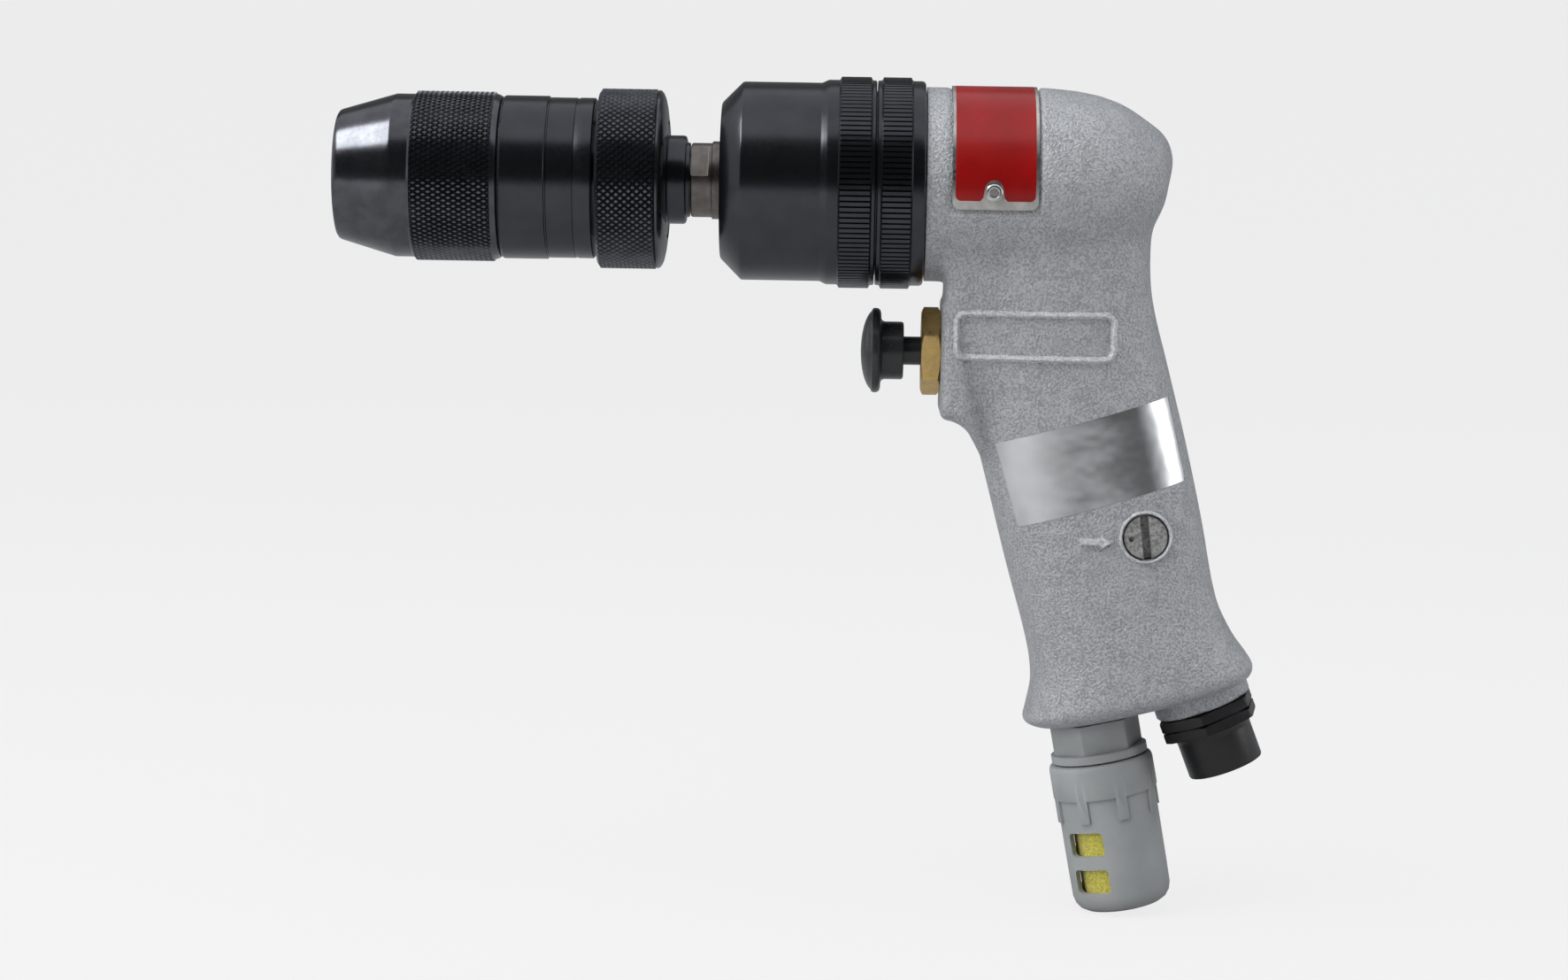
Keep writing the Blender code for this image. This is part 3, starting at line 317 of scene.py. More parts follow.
def hexagon(name, corner_r, start, end, turn, stand, chamfer, soft):
    """A hexagonal bar whose corners are broken flat and whose ends are turned to a chamfer."""
    deselect()
    depth = end - start
    bpy.ops.mesh.primitive_cylinder_add(vertices=6, radius=corner_r, depth=depth)
    obj = renamed(name)
    form = obj.data
    angles = [atan2(v.co.y, v.co.x) for v in form.vertices]
    first = min(abs(a) for a in angles)
    obj.data.transform(Matrix.Rotation(turn - first, 4, "Z"))
    obj.data.transform(Matrix.Translation((0.0, 0.0, (start + end) / 2)))
    edit(obj)
    pick(obj, "edges", lambda e: abs(e.verts[0].co.z - e.verts[1].co.z) > depth / 2)
    bpy.ops.mesh.bevel(offset=soft, segments=2, affect="EDGES")
    done()
    if chamfer:
        rim = corner_r * 1.02
        low = corner_r - 1.9 * chamfer
        outline = [
            (start, 0.0), (start, low), (start + chamfer, rim), (end - chamfer, rim), (end, low),
            (end, 0.0),
        ]
        joined_by(obj, turned(name + "_form", outline, None, 96), "INTERSECT")
    return placed(obj, stand) if stand else obj


def flat_piece(name, outline):
    """A flat face in the XY plane from an outline, walked point by point."""
    deselect()
    bpy.ops.mesh.primitive_circle_add(vertices=len(outline), radius=MM, fill_type="NGON")
    obj = renamed(name)
    for vertex, (x, y) in zip(obj.data.vertices, outline):
        vertex.co = (x, y, 0.0)
    return obj


def sliced(obj, axis, low, high, step):
    """Cuts across the piece at even steps, so that it can follow a curved surface."""
    edit(obj)
    normal = [0.0, 0.0, 0.0]
    normal[axis] = 1.0
    at = low + step
    while at < high - step / 2:
        point = [0.0, 0.0, 0.0]
        point[axis] = at
        bpy.ops.mesh.select_all(action="SELECT")
        bpy.ops.mesh.bisect(plane_co=point, plane_no=normal)
        at += step
    done()
    return obj


def thickened(obj, depth, way=(0.0, 0.0, 1.0)):
    edit(obj)
    bpy.ops.mesh.select_all(action="SELECT")
    step = tuple(depth * part for part in way)
    bpy.ops.mesh.extrude_region_move(TRANSFORM_OT_translate={"value": step})
    bpy.ops.mesh.select_all(action="SELECT")
    bpy.ops.mesh.normals_make_consistent(inside=False)
    done()
    return obj


def moved(obj, place):
    """Moves every vertex by a rule, (points) -> points."""
    count = len(obj.data.vertices)
    points = np.empty(count * 3, np.float64)
    obj.data.vertices.foreach_get("co", points)
    points = place(points.reshape(-1, 3))
    obj.data.vertices.foreach_set("co", points.astype(np.float32).ravel())
    obj.data.update()
    return obj


def finished(obj, finish, body, slot, *nodes, angle=30.0):
    """Smooths, paints and hangs a piece on its body, in place of the frame's nodes."""
    only(obj)
    bpy.ops.object.shade_smooth_by_angle(angle=radians(angle))
    obj.data.materials.clear()
    obj.data.materials.append(look(finish))
    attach(obj, body)
    if nodes:
        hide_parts(*nodes)
    deselect()
    return obj


# ---------------------------------------------------------------- finishes
class Finish:
    """A Principled surface with its pattern nodes on object coordinates."""

    def __init__(self, name, colour, roughness, metallic=0.0, **shader):
        self.material = bpy.data.materials.new(name)
        self.material.use_nodes = True
        self.material.diffuse_color = (*colour, 1.0)
        self.tree = self.material.node_tree
        self.shader = self.tree.nodes["Principled BSDF"]
        self.colour = colour
        self.shader.inputs["Base Color"].default_value = (*colour, 1.0)
        self.shader.inputs["Roughness"].default_value = roughness
        self.shader.inputs["Metallic"].default_value = metallic
        for socket, value in shader.items():
            self.shader.inputs[socket.replace("_", " ")].default_value = value
        self.height = None

    def node(self, kind, **settings):
        made = self.tree.nodes.new("ShaderNode" + kind)
        for key, value in settings.items():
            if key in made.inputs:
                made.inputs[key].default_value = value
            else:
                setattr(made, key, value)
        return made

    def link(self, out, into):
        self.tree.links.new(out, into)

    def place(self, stretch):
        where = self.node("TexCoord")
        mapping = self.node("Mapping", Scale=stretch)
        self.link(where.outputs["Object"], mapping.inputs["Vector"])
        return mapping.outputs["Vector"]

    def noise(self, scale, detail=2.0, rough=0.5, stretch=(1.0, 1.0, 1.0)):
        made = self.node("TexNoise", Scale=scale, Detail=detail, Roughness=rough)
        self.link(self.place(stretch), made.inputs["Vector"])
        return made.outputs["Fac"]

    def ramp(self, fac, low, high, first=0.35, last=0.65):
        made = self.node("ValToRGB")
        band = made.color_ramp
        band.elements[0].position = first
        band.elements[1].position = last
        band.elements[0].color = (*low, 1.0)
        band.elements[1].color = (*high, 1.0)
        self.link(fac, made.inputs["Fac"])
        return made.outputs["Color"]

    def span(self, fac, low, high, first=0.3, last=0.7):
        made = self.node("MapRange")
        for key, value in zip(("From Min", "From Max", "To Min", "To Max"), (first, last, low, high)):
            made.inputs[key].default_value = value
        self.link(fac, made.inputs["Value"])
        return made.outputs["Result"]

    def mottle(self, fac, dark, light, first=0.35, last=0.65):
        """Varies the colour between two shares of itself."""
        low = [c * dark for c in self.colour]
        high = [min(1.0, c * light) for c in self.colour]
        self.link(self.ramp(fac, low, high, first, last), self.shader.inputs["Base Color"])
        return self

    def vary_roughness(self, fac, low, high):
        self.link(self.span(fac, low, high), self.shader.inputs["Roughness"])
        return self

    def bump(self, fac, depth, strength=1.0):
        made = self.node("Bump", Strength=strength, Distance=depth)
        self.link(fac, made.inputs["Height"])
        if self.height:
            self.link(self.height, made.inputs["Normal"])
        self.height = made.outputs["Normal"]
        self.link(self.height, self.shader.inputs["Normal"])
        return self


def hammered_paint(colour, name="hammered_paint", roughness=0.36):
    """Silver paint over a coarse casting: small dark pits and a dimpled, softly shining skin."""
    paint = Finish(name, colour, roughness, 0.45, Specular_IOR_Level=0.5)
    dimples = paint.noise(1900.0, 2.0, 0.6)
    swell = paint.noise(260.0, 2.0, 0.5)
    mix = paint.node("Math", operation="MULTIPLY_ADD")
    paint.link(swell, mix.inputs[0])
    mix.inputs[1].default_value = 0.20
    paint.link(dimples, mix.inputs[2])
    paint.mottle(mix.outputs["Value"], 0.72, 1.14, 0.48, 0.70)
    paint.vary_roughness(paint.noise(900.0, 2.0), roughness * 0.9, roughness * 1.3)
    paint.bump(swell, 0.0005, 0.5)
    paint.bump(dimples, 0.0005, 1.0)
    return paint.material


def oxide_steel(colour):
    steel = Finish("oxide_steel", colour, 0.22, 0.96)
    lines = steel.noise(2600.0, 2.0, 0.6, (1.0, 0.012, 0.012))
    patches = steel.noise(160.0, 3.0, 0.6)
    steel.mottle(patches, 0.92, 1.08)
    steel.vary_roughness(steel.noise(1400.0, 2.0), 0.20, 0.27)
    steel.bump(lines, 0.000006, 0.4)
    steel.bump(steel.noise(2400.0, 2.0), 0.000008, 0.5)
    return steel.material


# Blackened steel for the knurls, given a brighter colour by its caller as a painted glint.
def knurled_steel(colour):
    steel = Finish("knurled_steel", colour, 0.20, 0.96)
    steel.mottle(steel.noise(260.0, 3.0, 0.6), 0.85, 1.15)
    steel.vary_roughness(steel.noise(1800.0, 2.0), 0.15, 0.23)
    steel.bump(steel.noise(3000.0, 2.0), 0.000008, 0.5)
    return steel.material


def ground_steel(name, colour, roughness, stretch):
    """Bare metal with fine lines left by the wheel or the lathe."""
    steel = Finish(name, colour, roughness, 1.0)
    lines = steel.noise(1500.0, 3.0, 0.6, stretch)
    steel.mottle(steel.noise(220.0, 4.0, 0.65), 0.72, 1.10)
    steel.vary_roughness(lines, roughness * 0.8, roughness * 1.35)
    steel.bump(lines, 0.00001, 0.6)
    return steel.material


def painted_plug():
    plug = Finish("plug_steel", (0.36, 0.36, 0.35), 0.42, 0.5)
    grain = plug.noise(1500.0, 3.0, 0.6)
    plug.mottle(grain, 0.62, 1.22, 0.40, 0.62)
    plug.bump(grain, 0.0002, 0.7)
    return plug.material


def moulded(name, colour, roughness, grain=1400.0, depth=0.00003):
    plastic = Finish(name, colour, roughness)
    fine = plastic.noise(grain, 2.0, 0.55)
    plastic.mottle(plastic.noise(120.0, 3.0), 0.93, 1.06)
    plastic.vary_roughness(fine, roughness * 0.85, roughness * 1.15)
    plastic.bump(fine, depth, 0.6)
    return plastic.material


def enamel_paint(colour):
    coat = {"Coat_Weight": 0.12, "Coat_Roughness": 0.12}
    paint = Finish("red_enamel", colour, 0.26, 0.0, Specular_IOR_Level=0.3, **coat)
    paint.mottle(paint.noise(70.0, 3.0, 0.6), 0.86, 1.12)
    paint.bump(paint.noise(700.0, 1.0), 0.00001, 0.4)
    return paint.material


def foil():
    """Bare metallised film with the soft waves of a label pressed on by hand."""
    film = Finish("bare_foil", (0.70, 0.71, 0.72), 0.22, 0.92)
    film.mottle(film.noise(90.0, 2.0, 0.5), 0.85, 1.08)
    film.bump(film.noise(110.0, 2.0, 0.5), 0.0006, 0.35)
    film.bump(film.noise(2400.0, 2.0), 0.00001, 0.4)
    return film.material


def felt(colour):
    wool = Finish("yellow_felt", colour, 0.95, 0.0, Sheen_Weight=0.35, Sheen_Roughness=0.5)
    fibres = wool.noise(1700.0, 4.0, 0.7)
    wool.mottle(fibres, 0.62, 1.22, 0.35, 0.66)
    wool.bump(fibres, 0.00025, 1.0)
    wool.bump(wool.noise(500.0, 2.0), 0.0003, 0.7)
    return wool.material


def brass_finish(colour):
    metal = Finish("brass", colour, 0.30, 0.9)
    patches = metal.noise(420.0, 4.0, 0.65)
    metal.mottle(patches, 0.70, 1.10, 0.3, 0.7)
    metal.vary_roughness(patches, 0.24, 0.44)
    metal.bump(metal.noise(1200.0, 3.0, 0.6, (1.0, 0.08, 1.0)), 0.00002, 0.6)
    return metal.material


FINISHES = {}


def look(name):
    """A finish by name, made once."""
    if name not in FINISHES:
        FINISHES[name] = finish_makers()[name]()
        FINISHES[name].name = "finish_" + name
    return FINISHES[name]


def finish_makers():
    colours = bpy.context.scene.driver_colours
    # The raised frame, arrow and regulator rim get a lighter copy of the casting paint: a painted highlight
    # along these raised details.
    painted_highlight_colour = tuple(0.14 + 1.15 * part for part in colours.casting)
    ringed = (0.03, 1.0, 1.0)
    return {
        "hammered_paint": lambda: hammered_paint(tuple(colours.casting)),
        "raised_paint": lambda: hammered_paint(painted_highlight_colour, "raised_paint", 0.3),
        "oxide_steel": lambda: oxide_steel(tuple(colours.oxide)),
        # The knurled bands get the oxide colour made 1.5 times brighter: a painted glint on the knurls.
        "knurled_steel": lambda: knurled_steel(tuple(1.5 * part for part in colours.oxide)),
        "spindle_steel": lambda: ground_steel("spindle_steel", (0.20, 0.185, 0.17), 0.34, (1.0, 0.05, 0.05)),
        "bright_steel": lambda: ground_steel("bright_steel", (0.75, 0.75, 0.75), 0.28, (1.0, 0.05, 0.05)),
        "gear_steel": lambda: ground_steel("gear_steel", (0.33, 0.33, 0.34), 0.36, ringed),
        "plug_steel": painted_plug,
        "spring_steel": lambda: ground_steel("spring_steel", (0.40, 0.40, 0.42), 0.3, ringed),
        "bushing_bronze": lambda: ground_steel("bushing_bronze", (0.50, 0.32, 0.14), 0.38, ringed),
        "bare_aluminium": lambda: ground_steel("bare_aluminium", (0.62, 0.61, 0.58), 0.34, (0.06, 1.0, 1.0)),
        "red_enamel": lambda: enamel_paint(tuple(colours.enamel)),
        "brass": lambda: brass_finish(tuple(colours.brass)),
        "charcoal_plastic": lambda: moulded("charcoal_plastic", (0.020, 0.022, 0.024), 0.24, 900.0, 0.00002),
        "grey_plastic": lambda: moulded("grey_plastic", tuple(colours.grey), 0.46),
        "black_fitting": lambda: moulded("black_fitting", (0.008, 0.008, 0.009), 0.36, 1200.0, 0.00004),
        "black_rubber": lambda: moulded("black_rubber", (0.022, 0.022, 0.023), 0.7),
        "vane_fibre": lambda: moulded("vane_fibre", (0.26, 0.13, 0.06), 0.6, 700.0, 0.00008),
        "bare_foil": foil,
        "yellow_felt": lambda: felt(tuple(colours.felt)),
    }


# ---------------------------------------------------------------- knurls
def outer_band(start, end):
    """Picks the outward faces of a turned piece between two stations."""

    def test(face):
        at = face.calc_center_median()
        out = face.normal.x * at.x + face.normal.y * at.y
        return start < at.z < end and out > 0.0 and abs(face.normal.z) < 0.2

    return test


def straight_knurl(obj, start, end, width, depth):
    edit(obj)
    pick(obj, "faces", outer_band(start, end))
    bpy.ops.mesh.inset(thickness=width, depth=depth, use_individual=True)
    done()


def diamond_knurl(obj, start, end, width, depth):
    """Turns a band of quads into a lattice of diamonds, each raised to a small flat."""
    edit(obj)
    pick(obj, "faces", outer_band(start, end))
    bpy.ops.mesh.poke()
    slack = 1e-6

    def old_edge(edge):
        a, b = (v.co for v in edge.verts)
        if min(a.z, b.z) < start - slack or max(a.z, b.z) > end + slack:
            return False
        if not all(outer_band(start, end)(f) for f in edge.link_faces):
            return False
        level = abs(a.z - b.z) < slack
        turn = abs(a.x * b.y - a.y * b.x) < slack * 0.01
        return (level or turn) and len(edge.link_faces) == 2

    pick(obj, "edges", old_edge)
    bpy.ops.mesh.dissolve_edges(use_verts=False)
    pick(obj, "faces", outer_band(start, end))
    bpy.ops.mesh.inset(thickness=width, depth=depth, use_individual=True)
    done()


def even_stations(start, end, count):
    return [start + (end - start) * i / count for i in range(count + 1)]


# ---------------------------------------------------------------- chuck
JAW_CONE = radians(16.0)
MOUTH_R = 8.6 * MM
SHELL_BORE_R = 15.0 * MM


def chuck_hood(sizes):
    front, rear = ends("chuck_hood")
    top = reach("chuck_hood")
    valley = top - sizes.knurl_depth
    plain = top - 0.7 * MM
    nose = 14.2 * MM
    cone_end = front + (SHELL_BORE_R - MOUTH_R) / tan(JAW_CONE)
    band = (rear - 18.6 * MM, rear - 1.3 * MM)

    def cone_radius(at):
        """The nose cone starts 0.9 mm behind the hood's front and is 11.8 mm long."""
        return nose + (plain - nose) * (at - 0.9) / 11.8

    outline = [
        (front + 0.55 * MM, MOUTH_R + 0.1 * MM), (front + 0.05 * MM, MOUTH_R + 0.7 * MM),
        *near(front, nose, (0, -1.3), (0.12, -0.75), (0.45, -0.25)),
        *[(front + at * MM, cone_radius(at)) for at in (0.95, 1.4, 6.0, 12.1, 12.5)],
        *near(front, plain, (12.72, -0.01), (12.95, 0), (13.4, 0)),
        *near(band[0], plain, (-0.45, 0), (-0.25, 0.12)),
    ]
    outline += [(at, valley) for at in even_stations(*band, 8)]
    outline += [
        (rear - 0.85 * MM, valley - 0.10 * MM),
        *near(rear, plain, (-0.15, -0.15), (0, -0.35)),
        (rear, SHELL_BORE_R), (cone_end, SHELL_BORE_R),
    ]
    hood = turned("chuck_hood_knurled", outline, None, 92, closed=True)
    diamond_knurl(hood, band[0], band[1], 0.27 * MM, sizes.knurl_depth)
    placed(hood, SPINDLE)
    # The knurled hood wears the brightened oxide, a painted glint.
    return finished(hood, "knurled_steel", "chuck_shell", "black_oxide_steel", "chuck_hood", angle=24)


def chuck_sleeve(sizes):
    rear = ends("chuck_sleeve")[1]
    front = ends("chuck_hood")[1] + 0.15 * MM
    radius = reach("chuck_sleeve")
    low = radius - 0.3 * MM
    step = front + 10.1 * MM
    line = front + 16.3 * MM
    bore = reach("chuck_body") + 0.3 * MM
    outline = [
        (front, bore),
        *near(front, radius, (0, -0.45), (0.65, 0)),
        *near(step, radius, (-0.1, 0), (0, -0.08)),
        *near(step, low, (0.12, -0.12), (0.35, -0.12), (0.5, 0)),
        *near(line, low, (-0.12, 0), (0, -0.22), (0.06, -0.22), (0.6, 0.02)),
        *near(rear, low, (-0.25, 0.02), (0, -0.25)),
        (rear, bore),
    ]
    sleeve = turned("chuck_sleeve_turned", outline, SPINDLE, 128, closed=True)
    return finished(sleeve, "oxide_steel", "chuck_shell", "black_oxide_steel", "chuck_sleeve")


def holding_ring(sizes):
    front, rear = ends("chuck_holding_ring")
    top = reach("chuck_holding_ring")
    valley = top - sizes.knurl_depth
    bore = reach("chuck_body") + 0.3 * MM
    band = (front + 0.35 * MM, rear - 2.25 * MM)
    outline = [(front, bore), (front, valley - 0.5 * MM)]
    outline += [(at, valley) for at in even_stations(*band, 7)]
    outline += [
        *near(
            rear, top, (-2.05, -0.12), (-1.6, -0.3), (-1.15, -0.8), (-0.75, -1.75), (-0.4, -3.3),
            (-0.15, -5.2),
        ),
        *near(rear, bore, (0, 0.2), (0, 0)),
    ]
    ring = turned("holding_ring_knurled", outline, None, 80, closed=True)
    diamond_knurl(ring, band[0], band[1], 0.27 * MM, sizes.knurl_depth)
    placed(ring, SPINDLE)
    # The knurled ring wears the brightened oxide, a painted glint.
    return finished(ring, "knurled_steel", "spindle", "black_oxide_steel", "chuck_holding_ring", angle=24)


def chuck_body():
    front, rear = ends("chuck_body")
    radius = reach("chuck_body")
    ring_end = ends("chuck_holding_ring")[1]
    collar = 9.6 * MM
    screw_bore = 5.3 * MM
    nose_bore = 5.6 * MM
    web = -92.0 * MM
    outline = [
        (front, screw_bore),
        *near(front, radius, (0, -0.4), (0.4, 0)),
        *near(ring_end, radius, (-0.5, 0), (-0.1, -0.4)),
        *near(ring_end, collar, (-0.1, 0.3), (0.15, 0)),
        *near(rear, collar, (-1.35, 0), (-0.9, -0.22), (-0.72, -0.75)),
        *near(rear, 0, (-0.7, 8.2), (0, 8)),
        (rear, nose_bore), (web, nose_bore),
        *near(web, 0, (0, 3), (-3, 3)),
        (web - 3.0 * MM, screw_bore),
    ]
    body = turned("chuck_body_turned", outline, SPINDLE, 96, closed=True)
    return finished(body, "oxide_steel", "spindle", "black_oxide_steel", "chuck_body")


def chuck_jaws():
    """Each jaw: the frame's shape with its edges broken."""
    for index in range(1, 4):
        node = f"chuck_jaw_{index}"
        jaw = frame["nodes"][node].copy()
        jaw.data = jaw.data.copy()
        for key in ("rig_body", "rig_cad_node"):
            del jaw[key]
        jaw.parent = None
        bpy.context.scene.collection.objects.link(jaw)
        jaw.name = f"gripping_jaw_{index}"
        tidy(jaw, 1e-6)
        applied(jaw, "DECIMATE", decimate_type="DISSOLVE", angle_limit=radians(1.0))
        applied(jaw, "BEVEL", width=0.22 * MM, segments=2, limit_method="ANGLE", angle_limit=radians(35))
        finished(jaw, "bright_steel", f"jaw_{index}", "bright_steel", node)


# ---------------------------------------------------------------- spindle and cases
def output_spindle():
    front = ends("chuck_body")[1] + 0.3 * MM
    nose_front, rear = ends("output_spindle")
    shaft = 6.0 * MM
    radius = 8.05 * MM
    collar = 8.45 * MM
    outline = [
        *near(nose_front, 0, (0, 0), (0, 4.7), (0.6, 5.3)),
        (front, 5.3 * MM),
        *near(front, radius, (0, -0.25), (0.25, 0)),
        (-66.5 * MM, radius),
        *near(0, collar, (-66.5, -0.15), (-66.35, 0), (-64.25, 0), (-64.1, -0.15)),
        (-64.1 * MM, shaft),
        *near(rear, shaft, (-0.4, 0), (0, -0.4)),
        (rear, 0.0),
    ]
    spindle = turned("output_spindle_turned", outline, None, 96)
    flat_turn = Matrix.Rotation(radians(-37.0), 4, "Z")
    long_side = -66.9 * MM - front
    for side in (-1, 1):
        at = (0.0, side * 9.0 * MM, front + long_side / 2 - 0.2 * MM)
        tool = block("flat_cutter", (0.022, 4.0 * MM, long_side), at, flat_turn, 0.25 * MM, 2)
        carve(spindle, tool)
    placed(spindle, SPINDLE)
    return finished(spindle, "spindle_steel", "spindle", "bright_steel", "output_spindle")


HOLE_TURN = radians(68.0)
HOLE_STATION = -56.6 * MM


def clutch_case(sizes):
    front, rear = ends("clutch_case")
    top = reach("clutch_case")
    valley = top - sizes.grip_knurl_depth
    ring = top - 0.72 * MM
    radius = 21.5 * MM
    band = (-38.85 * MM, -32.05 * MM)
    bore = 9.9 * MM
    chamber = 18.5 * MM
    socket = 20.2 * MM
    wall = front + 4.5 * MM
    shoulder = -38.5 * MM
    outline = [
        (front, bore),
        *near(front, 0, (0, 16.7), (0.25, 17.15)),
        *near(front, radius, (4.45, -0.12), (4.85, 0)),
        *near(0, radius, (-43, 0), (-42.75, 0.06)),
        *near(0, ring, (-41.55, -0.05), (-41.25, 0)),
        (band[0] - 0.25 * MM, ring), (band[0], valley), (band[1], valley),
        (band[1] + 0.2 * MM, ring),
        *near(rear, ring, (-0.25, 0), (0, -0.25)),
        (rear, socket), (shoulder, socket), (shoulder, chamber), (wall, chamber), (wall, bore),
    ]
    case = turned("clutch_case_knurled", outline, None, 120, closed=True)
    straight_knurl(case, band[0], band[1], 0.20 * MM, sizes.grip_knurl_depth)
    spin = Matrix.Rotation(pi / 2 + HOLE_TURN, 4, "Z")
    hole_frame = spin @ Matrix.Translation((0.0, 0.0, HOLE_STATION)) @ Matrix.Rotation(pi / 2, 4, "Y")
    outline = mm((17, 0), (17, 2.5), (20.95, 2.5), (21.7, 3), (23, 3), (23, 0))
    carve(case, turned("hole_cutter", outline, hole_frame, 48))
    placed(case, SPINDLE)
    return finished(case, "oxide_steel", "housing", "black_oxide_steel", "clutch_case")


def gear_case(sizes):
    front, rear = ends("gear_case")
    top = reach("gear_case")
    valley = top - sizes.grip_knurl_depth
    ring = top - 0.72 * MM
    split = ends("clutch_case")[1] + 0.2 * MM
    face = ends("housing")[0] - 0.2 * MM
    band = (-29.75 * MM, -23.35 * MM)
    outline = [
        *near(front, 0, (0, 18.4), (0, 19.9)), (split, 19.9 * MM),
        *near(split, ring, (0, -0.22), (0.22, 0)),
        (band[0] - 0.2 * MM, ring), (band[0], valley), (band[1], valley),
        (band[1] + 0.25 * MM, ring),
        *near(face, ring, (-0.75, 0), (-0.25, -0.2), (0, -0.65)),
        (face, 18.7 * MM),
        *near(rear, 0, (0, 18.7), (0, 17.2)),
        *mm((-20.2, 17.2), (-20.2, 12), (-22.8, 12), (-22.8, 18.4)),
    ]
    case = turned("gear_case_knurled", outline, None, 120, closed=True)
    straight_knurl(case, band[0], band[1], 0.20 * MM, sizes.grip_knurl_depth)
    placed(case, SPINDLE)
    return finished(case, "oxide_steel", "housing", "black_oxide_steel", "gear_case")


# ---------------------------------------------------------------- housing
GRIP_LEAN = radians(14.4)
# Sections across the grip in millimetres: along, front, rear, half width
GRIP_SECTIONS = (
    (-12.0, 8.0, 23.5, 6.5),
    (-9.4, 5.0, 28.2, 8.5),
    (-6.5, 3.0, 31.0, 10.0),
    (-4.2, 1.0, 32.9, 11.2),
    (-1.7, -2.0, 34.0, 12.6),
    (2.8, -6.7, 34.0, 14.6),
    (8.5, -11.2, 31.2, 15.6),
    (12.6, -14.0, 27.9, 16.0),
    (18.0, -17.0, 25.5, 16.2),
    (30.1, -20.5, 22.9, 16.3),
    (46.0, -21.5, 22.8, 16.5),
    (62.0, -21.4, 22.9, 16.6),
    (80.0, -21.3, 22.5, 16.8),
    (97.5, -20.9, 21.7, 17.2),
    (106.0, -21.9, 23.4, 17.8),
    (112.0, -24.6, 25.8, 18.2),
    (114.5, -25.5, 26.2, 18.0),
    (116.6, -22.5, 24.0, 15.8),
    (117.3, -19.0, 20.0, 13.0),
)
BARREL_R = 21.15 * MM
DOME = (
    (6.0, 1.0), (12.5, 0.972), (17.2, 0.929), (21.1, 0.868),
    (25.0, 0.778), (28.5, 0.655), (31.0, 0.50), (32.2, 0.30), (32.5, 0.0),
)


def smooth_sections(steps):
    """The grip's sections, with more of them on a smooth curve between."""
    rows = np.array(GRIP_SECTIONS) * MM
    made = []
    for i in range(len(rows) - 1):
        before = rows[max(i - 1, 0)]
        a, b = rows[i], rows[i + 1]
        after = rows[min(i + 2, len(rows) - 1)]
        reach_ab = b[0] - a[0]
        slope_a = (b - before) / (b[0] - before[0]) * reach_ab
        slope_b = (after - a) / (after[0] - a[0]) * reach_ab
        for k in range(steps):
            t = k / steps
            made.append(
                (2 * t**3 - 3 * t**2 + 1) * a + (t**3 - 2 * t**2 + t) * slope_a
                + (-2 * t**3 + 3 * t**2) * b + (t**3 - t**2) * slope_b
            )
    made.append(rows[-1])
    return made


def grip_form(around=72, corner=2.5):
    """A ring walked down the grip: each extrusion is sized to its section."""
    deselect()
    bpy.ops.mesh.primitive_circle_add(vertices=around, radius=MM, fill_type="NGON")
    grip = renamed("grip_form")
    sections = smooth_sections(4)
    bpy.ops.object.mode_set(mode="EDIT")
    bpy.ops.mesh.select_all(action="SELECT")
    for _ in sections[1:]:
        bpy.ops.mesh.extrude_region_move(TRANSFORM_OT_translate={"value": (0.0, 0.0, -MM)})
    done()
    angles = 2 * pi * np.arange(around) / around
    u, v = np.cos(angles), np.sin(angles)
    across = np.sign(u) * np.abs(u) ** (2 / corner)
    aside = np.sign(v) * np.abs(v) ** (2 / corner)

    def shape(points):
        rows = points.reshape(len(sections), around, 3)
        for row, (along, front, rear, half) in zip(rows, sections):
            off = (front + rear) / 2 + across * (rear - front) / 2
            row[:, 0] = along * sin(GRIP_LEAN) + off * cos(GRIP_LEAN)
            row[:, 1] = aside * half
            row[:, 2] = -along * cos(GRIP_LEAN) + off * sin(GRIP_LEAN)
        return points

    moved(grip, shape)
    tidy(grip)
    return grip


def barrel_form():
    front = ends("housing")[0] - 4.0 * MM
    outline = [
        (front, 0.0), (front, BARREL_R),
    ]
    outline += [(at * MM, BARREL_R * share) for at, share in DOME]
    barrel = turned("barrel_form", outline, SPINDLE, 96)

    def flattened(points):
        made = points.copy()
        low = fade(-points[:, 2], 1 * MM, 12 * MM) * fade(points[:, 0], 18 * MM, 24 * MM)
        made[:, 0] -= 0.22 * low * (points[:, 0] - 18 * MM)
        return made

    return moved(barrel, flattened)


def weighted_smooth(obj, name, repeat, weight):
    """Smooths the surface where the rule gives it weight."""
    group = obj.vertex_groups.new(name=name)
    points = np.empty(len(obj.data.vertices) * 3, np.float32)
    obj.data.vertices.foreach_get("co", points)
    shares = weight(points.reshape(-1, 3).astype(float))
    for index in np.nonzero(shares > 0.01)[0]:
        group.add([int(index)], float(shares[index]), "REPLACE")
    applied(obj, "SMOOTH", factor=0.5, iterations=repeat, vertex_group=name)
    obj.vertex_groups.remove(obj.vertex_groups[name])


def fade(value, low, high):
    """0 below low, 1 above high, smooth between."""
    t = np.clip((value - low) / (high - low), 0.0, 1.0)
    return t * t * (3 - 2 * t)


def crease_weight(points):
    """The fillet between the barrel and the grip's sides."""
    x, y, z = points.T
    side = fade(np.abs(y), 9 * MM, 12 * MM)
    height = fade(z, -27 * MM, -21 * MM) * (1 - fade(z, -7 * MM, -2 * MM))
    lengthwise = fade(x, -17 * MM, -13 * MM) * (1 - fade(x, 27 * MM, 33 * MM))
    flank = fade(z, -70 * MM, -64 * MM) * (1 - fade(z, -24 * MM, -20 * MM))
    flank = flank * fade(x, -12 * MM, -9 * MM) * (1 - fade(x, 9 * MM, 13 * MM))
    hump = fade(x, 22 * MM, 26 * MM) * fade(z, -34 * MM, -20 * MM)
    return np.maximum(np.maximum(side * height * lengthwise, side * flank), hump)


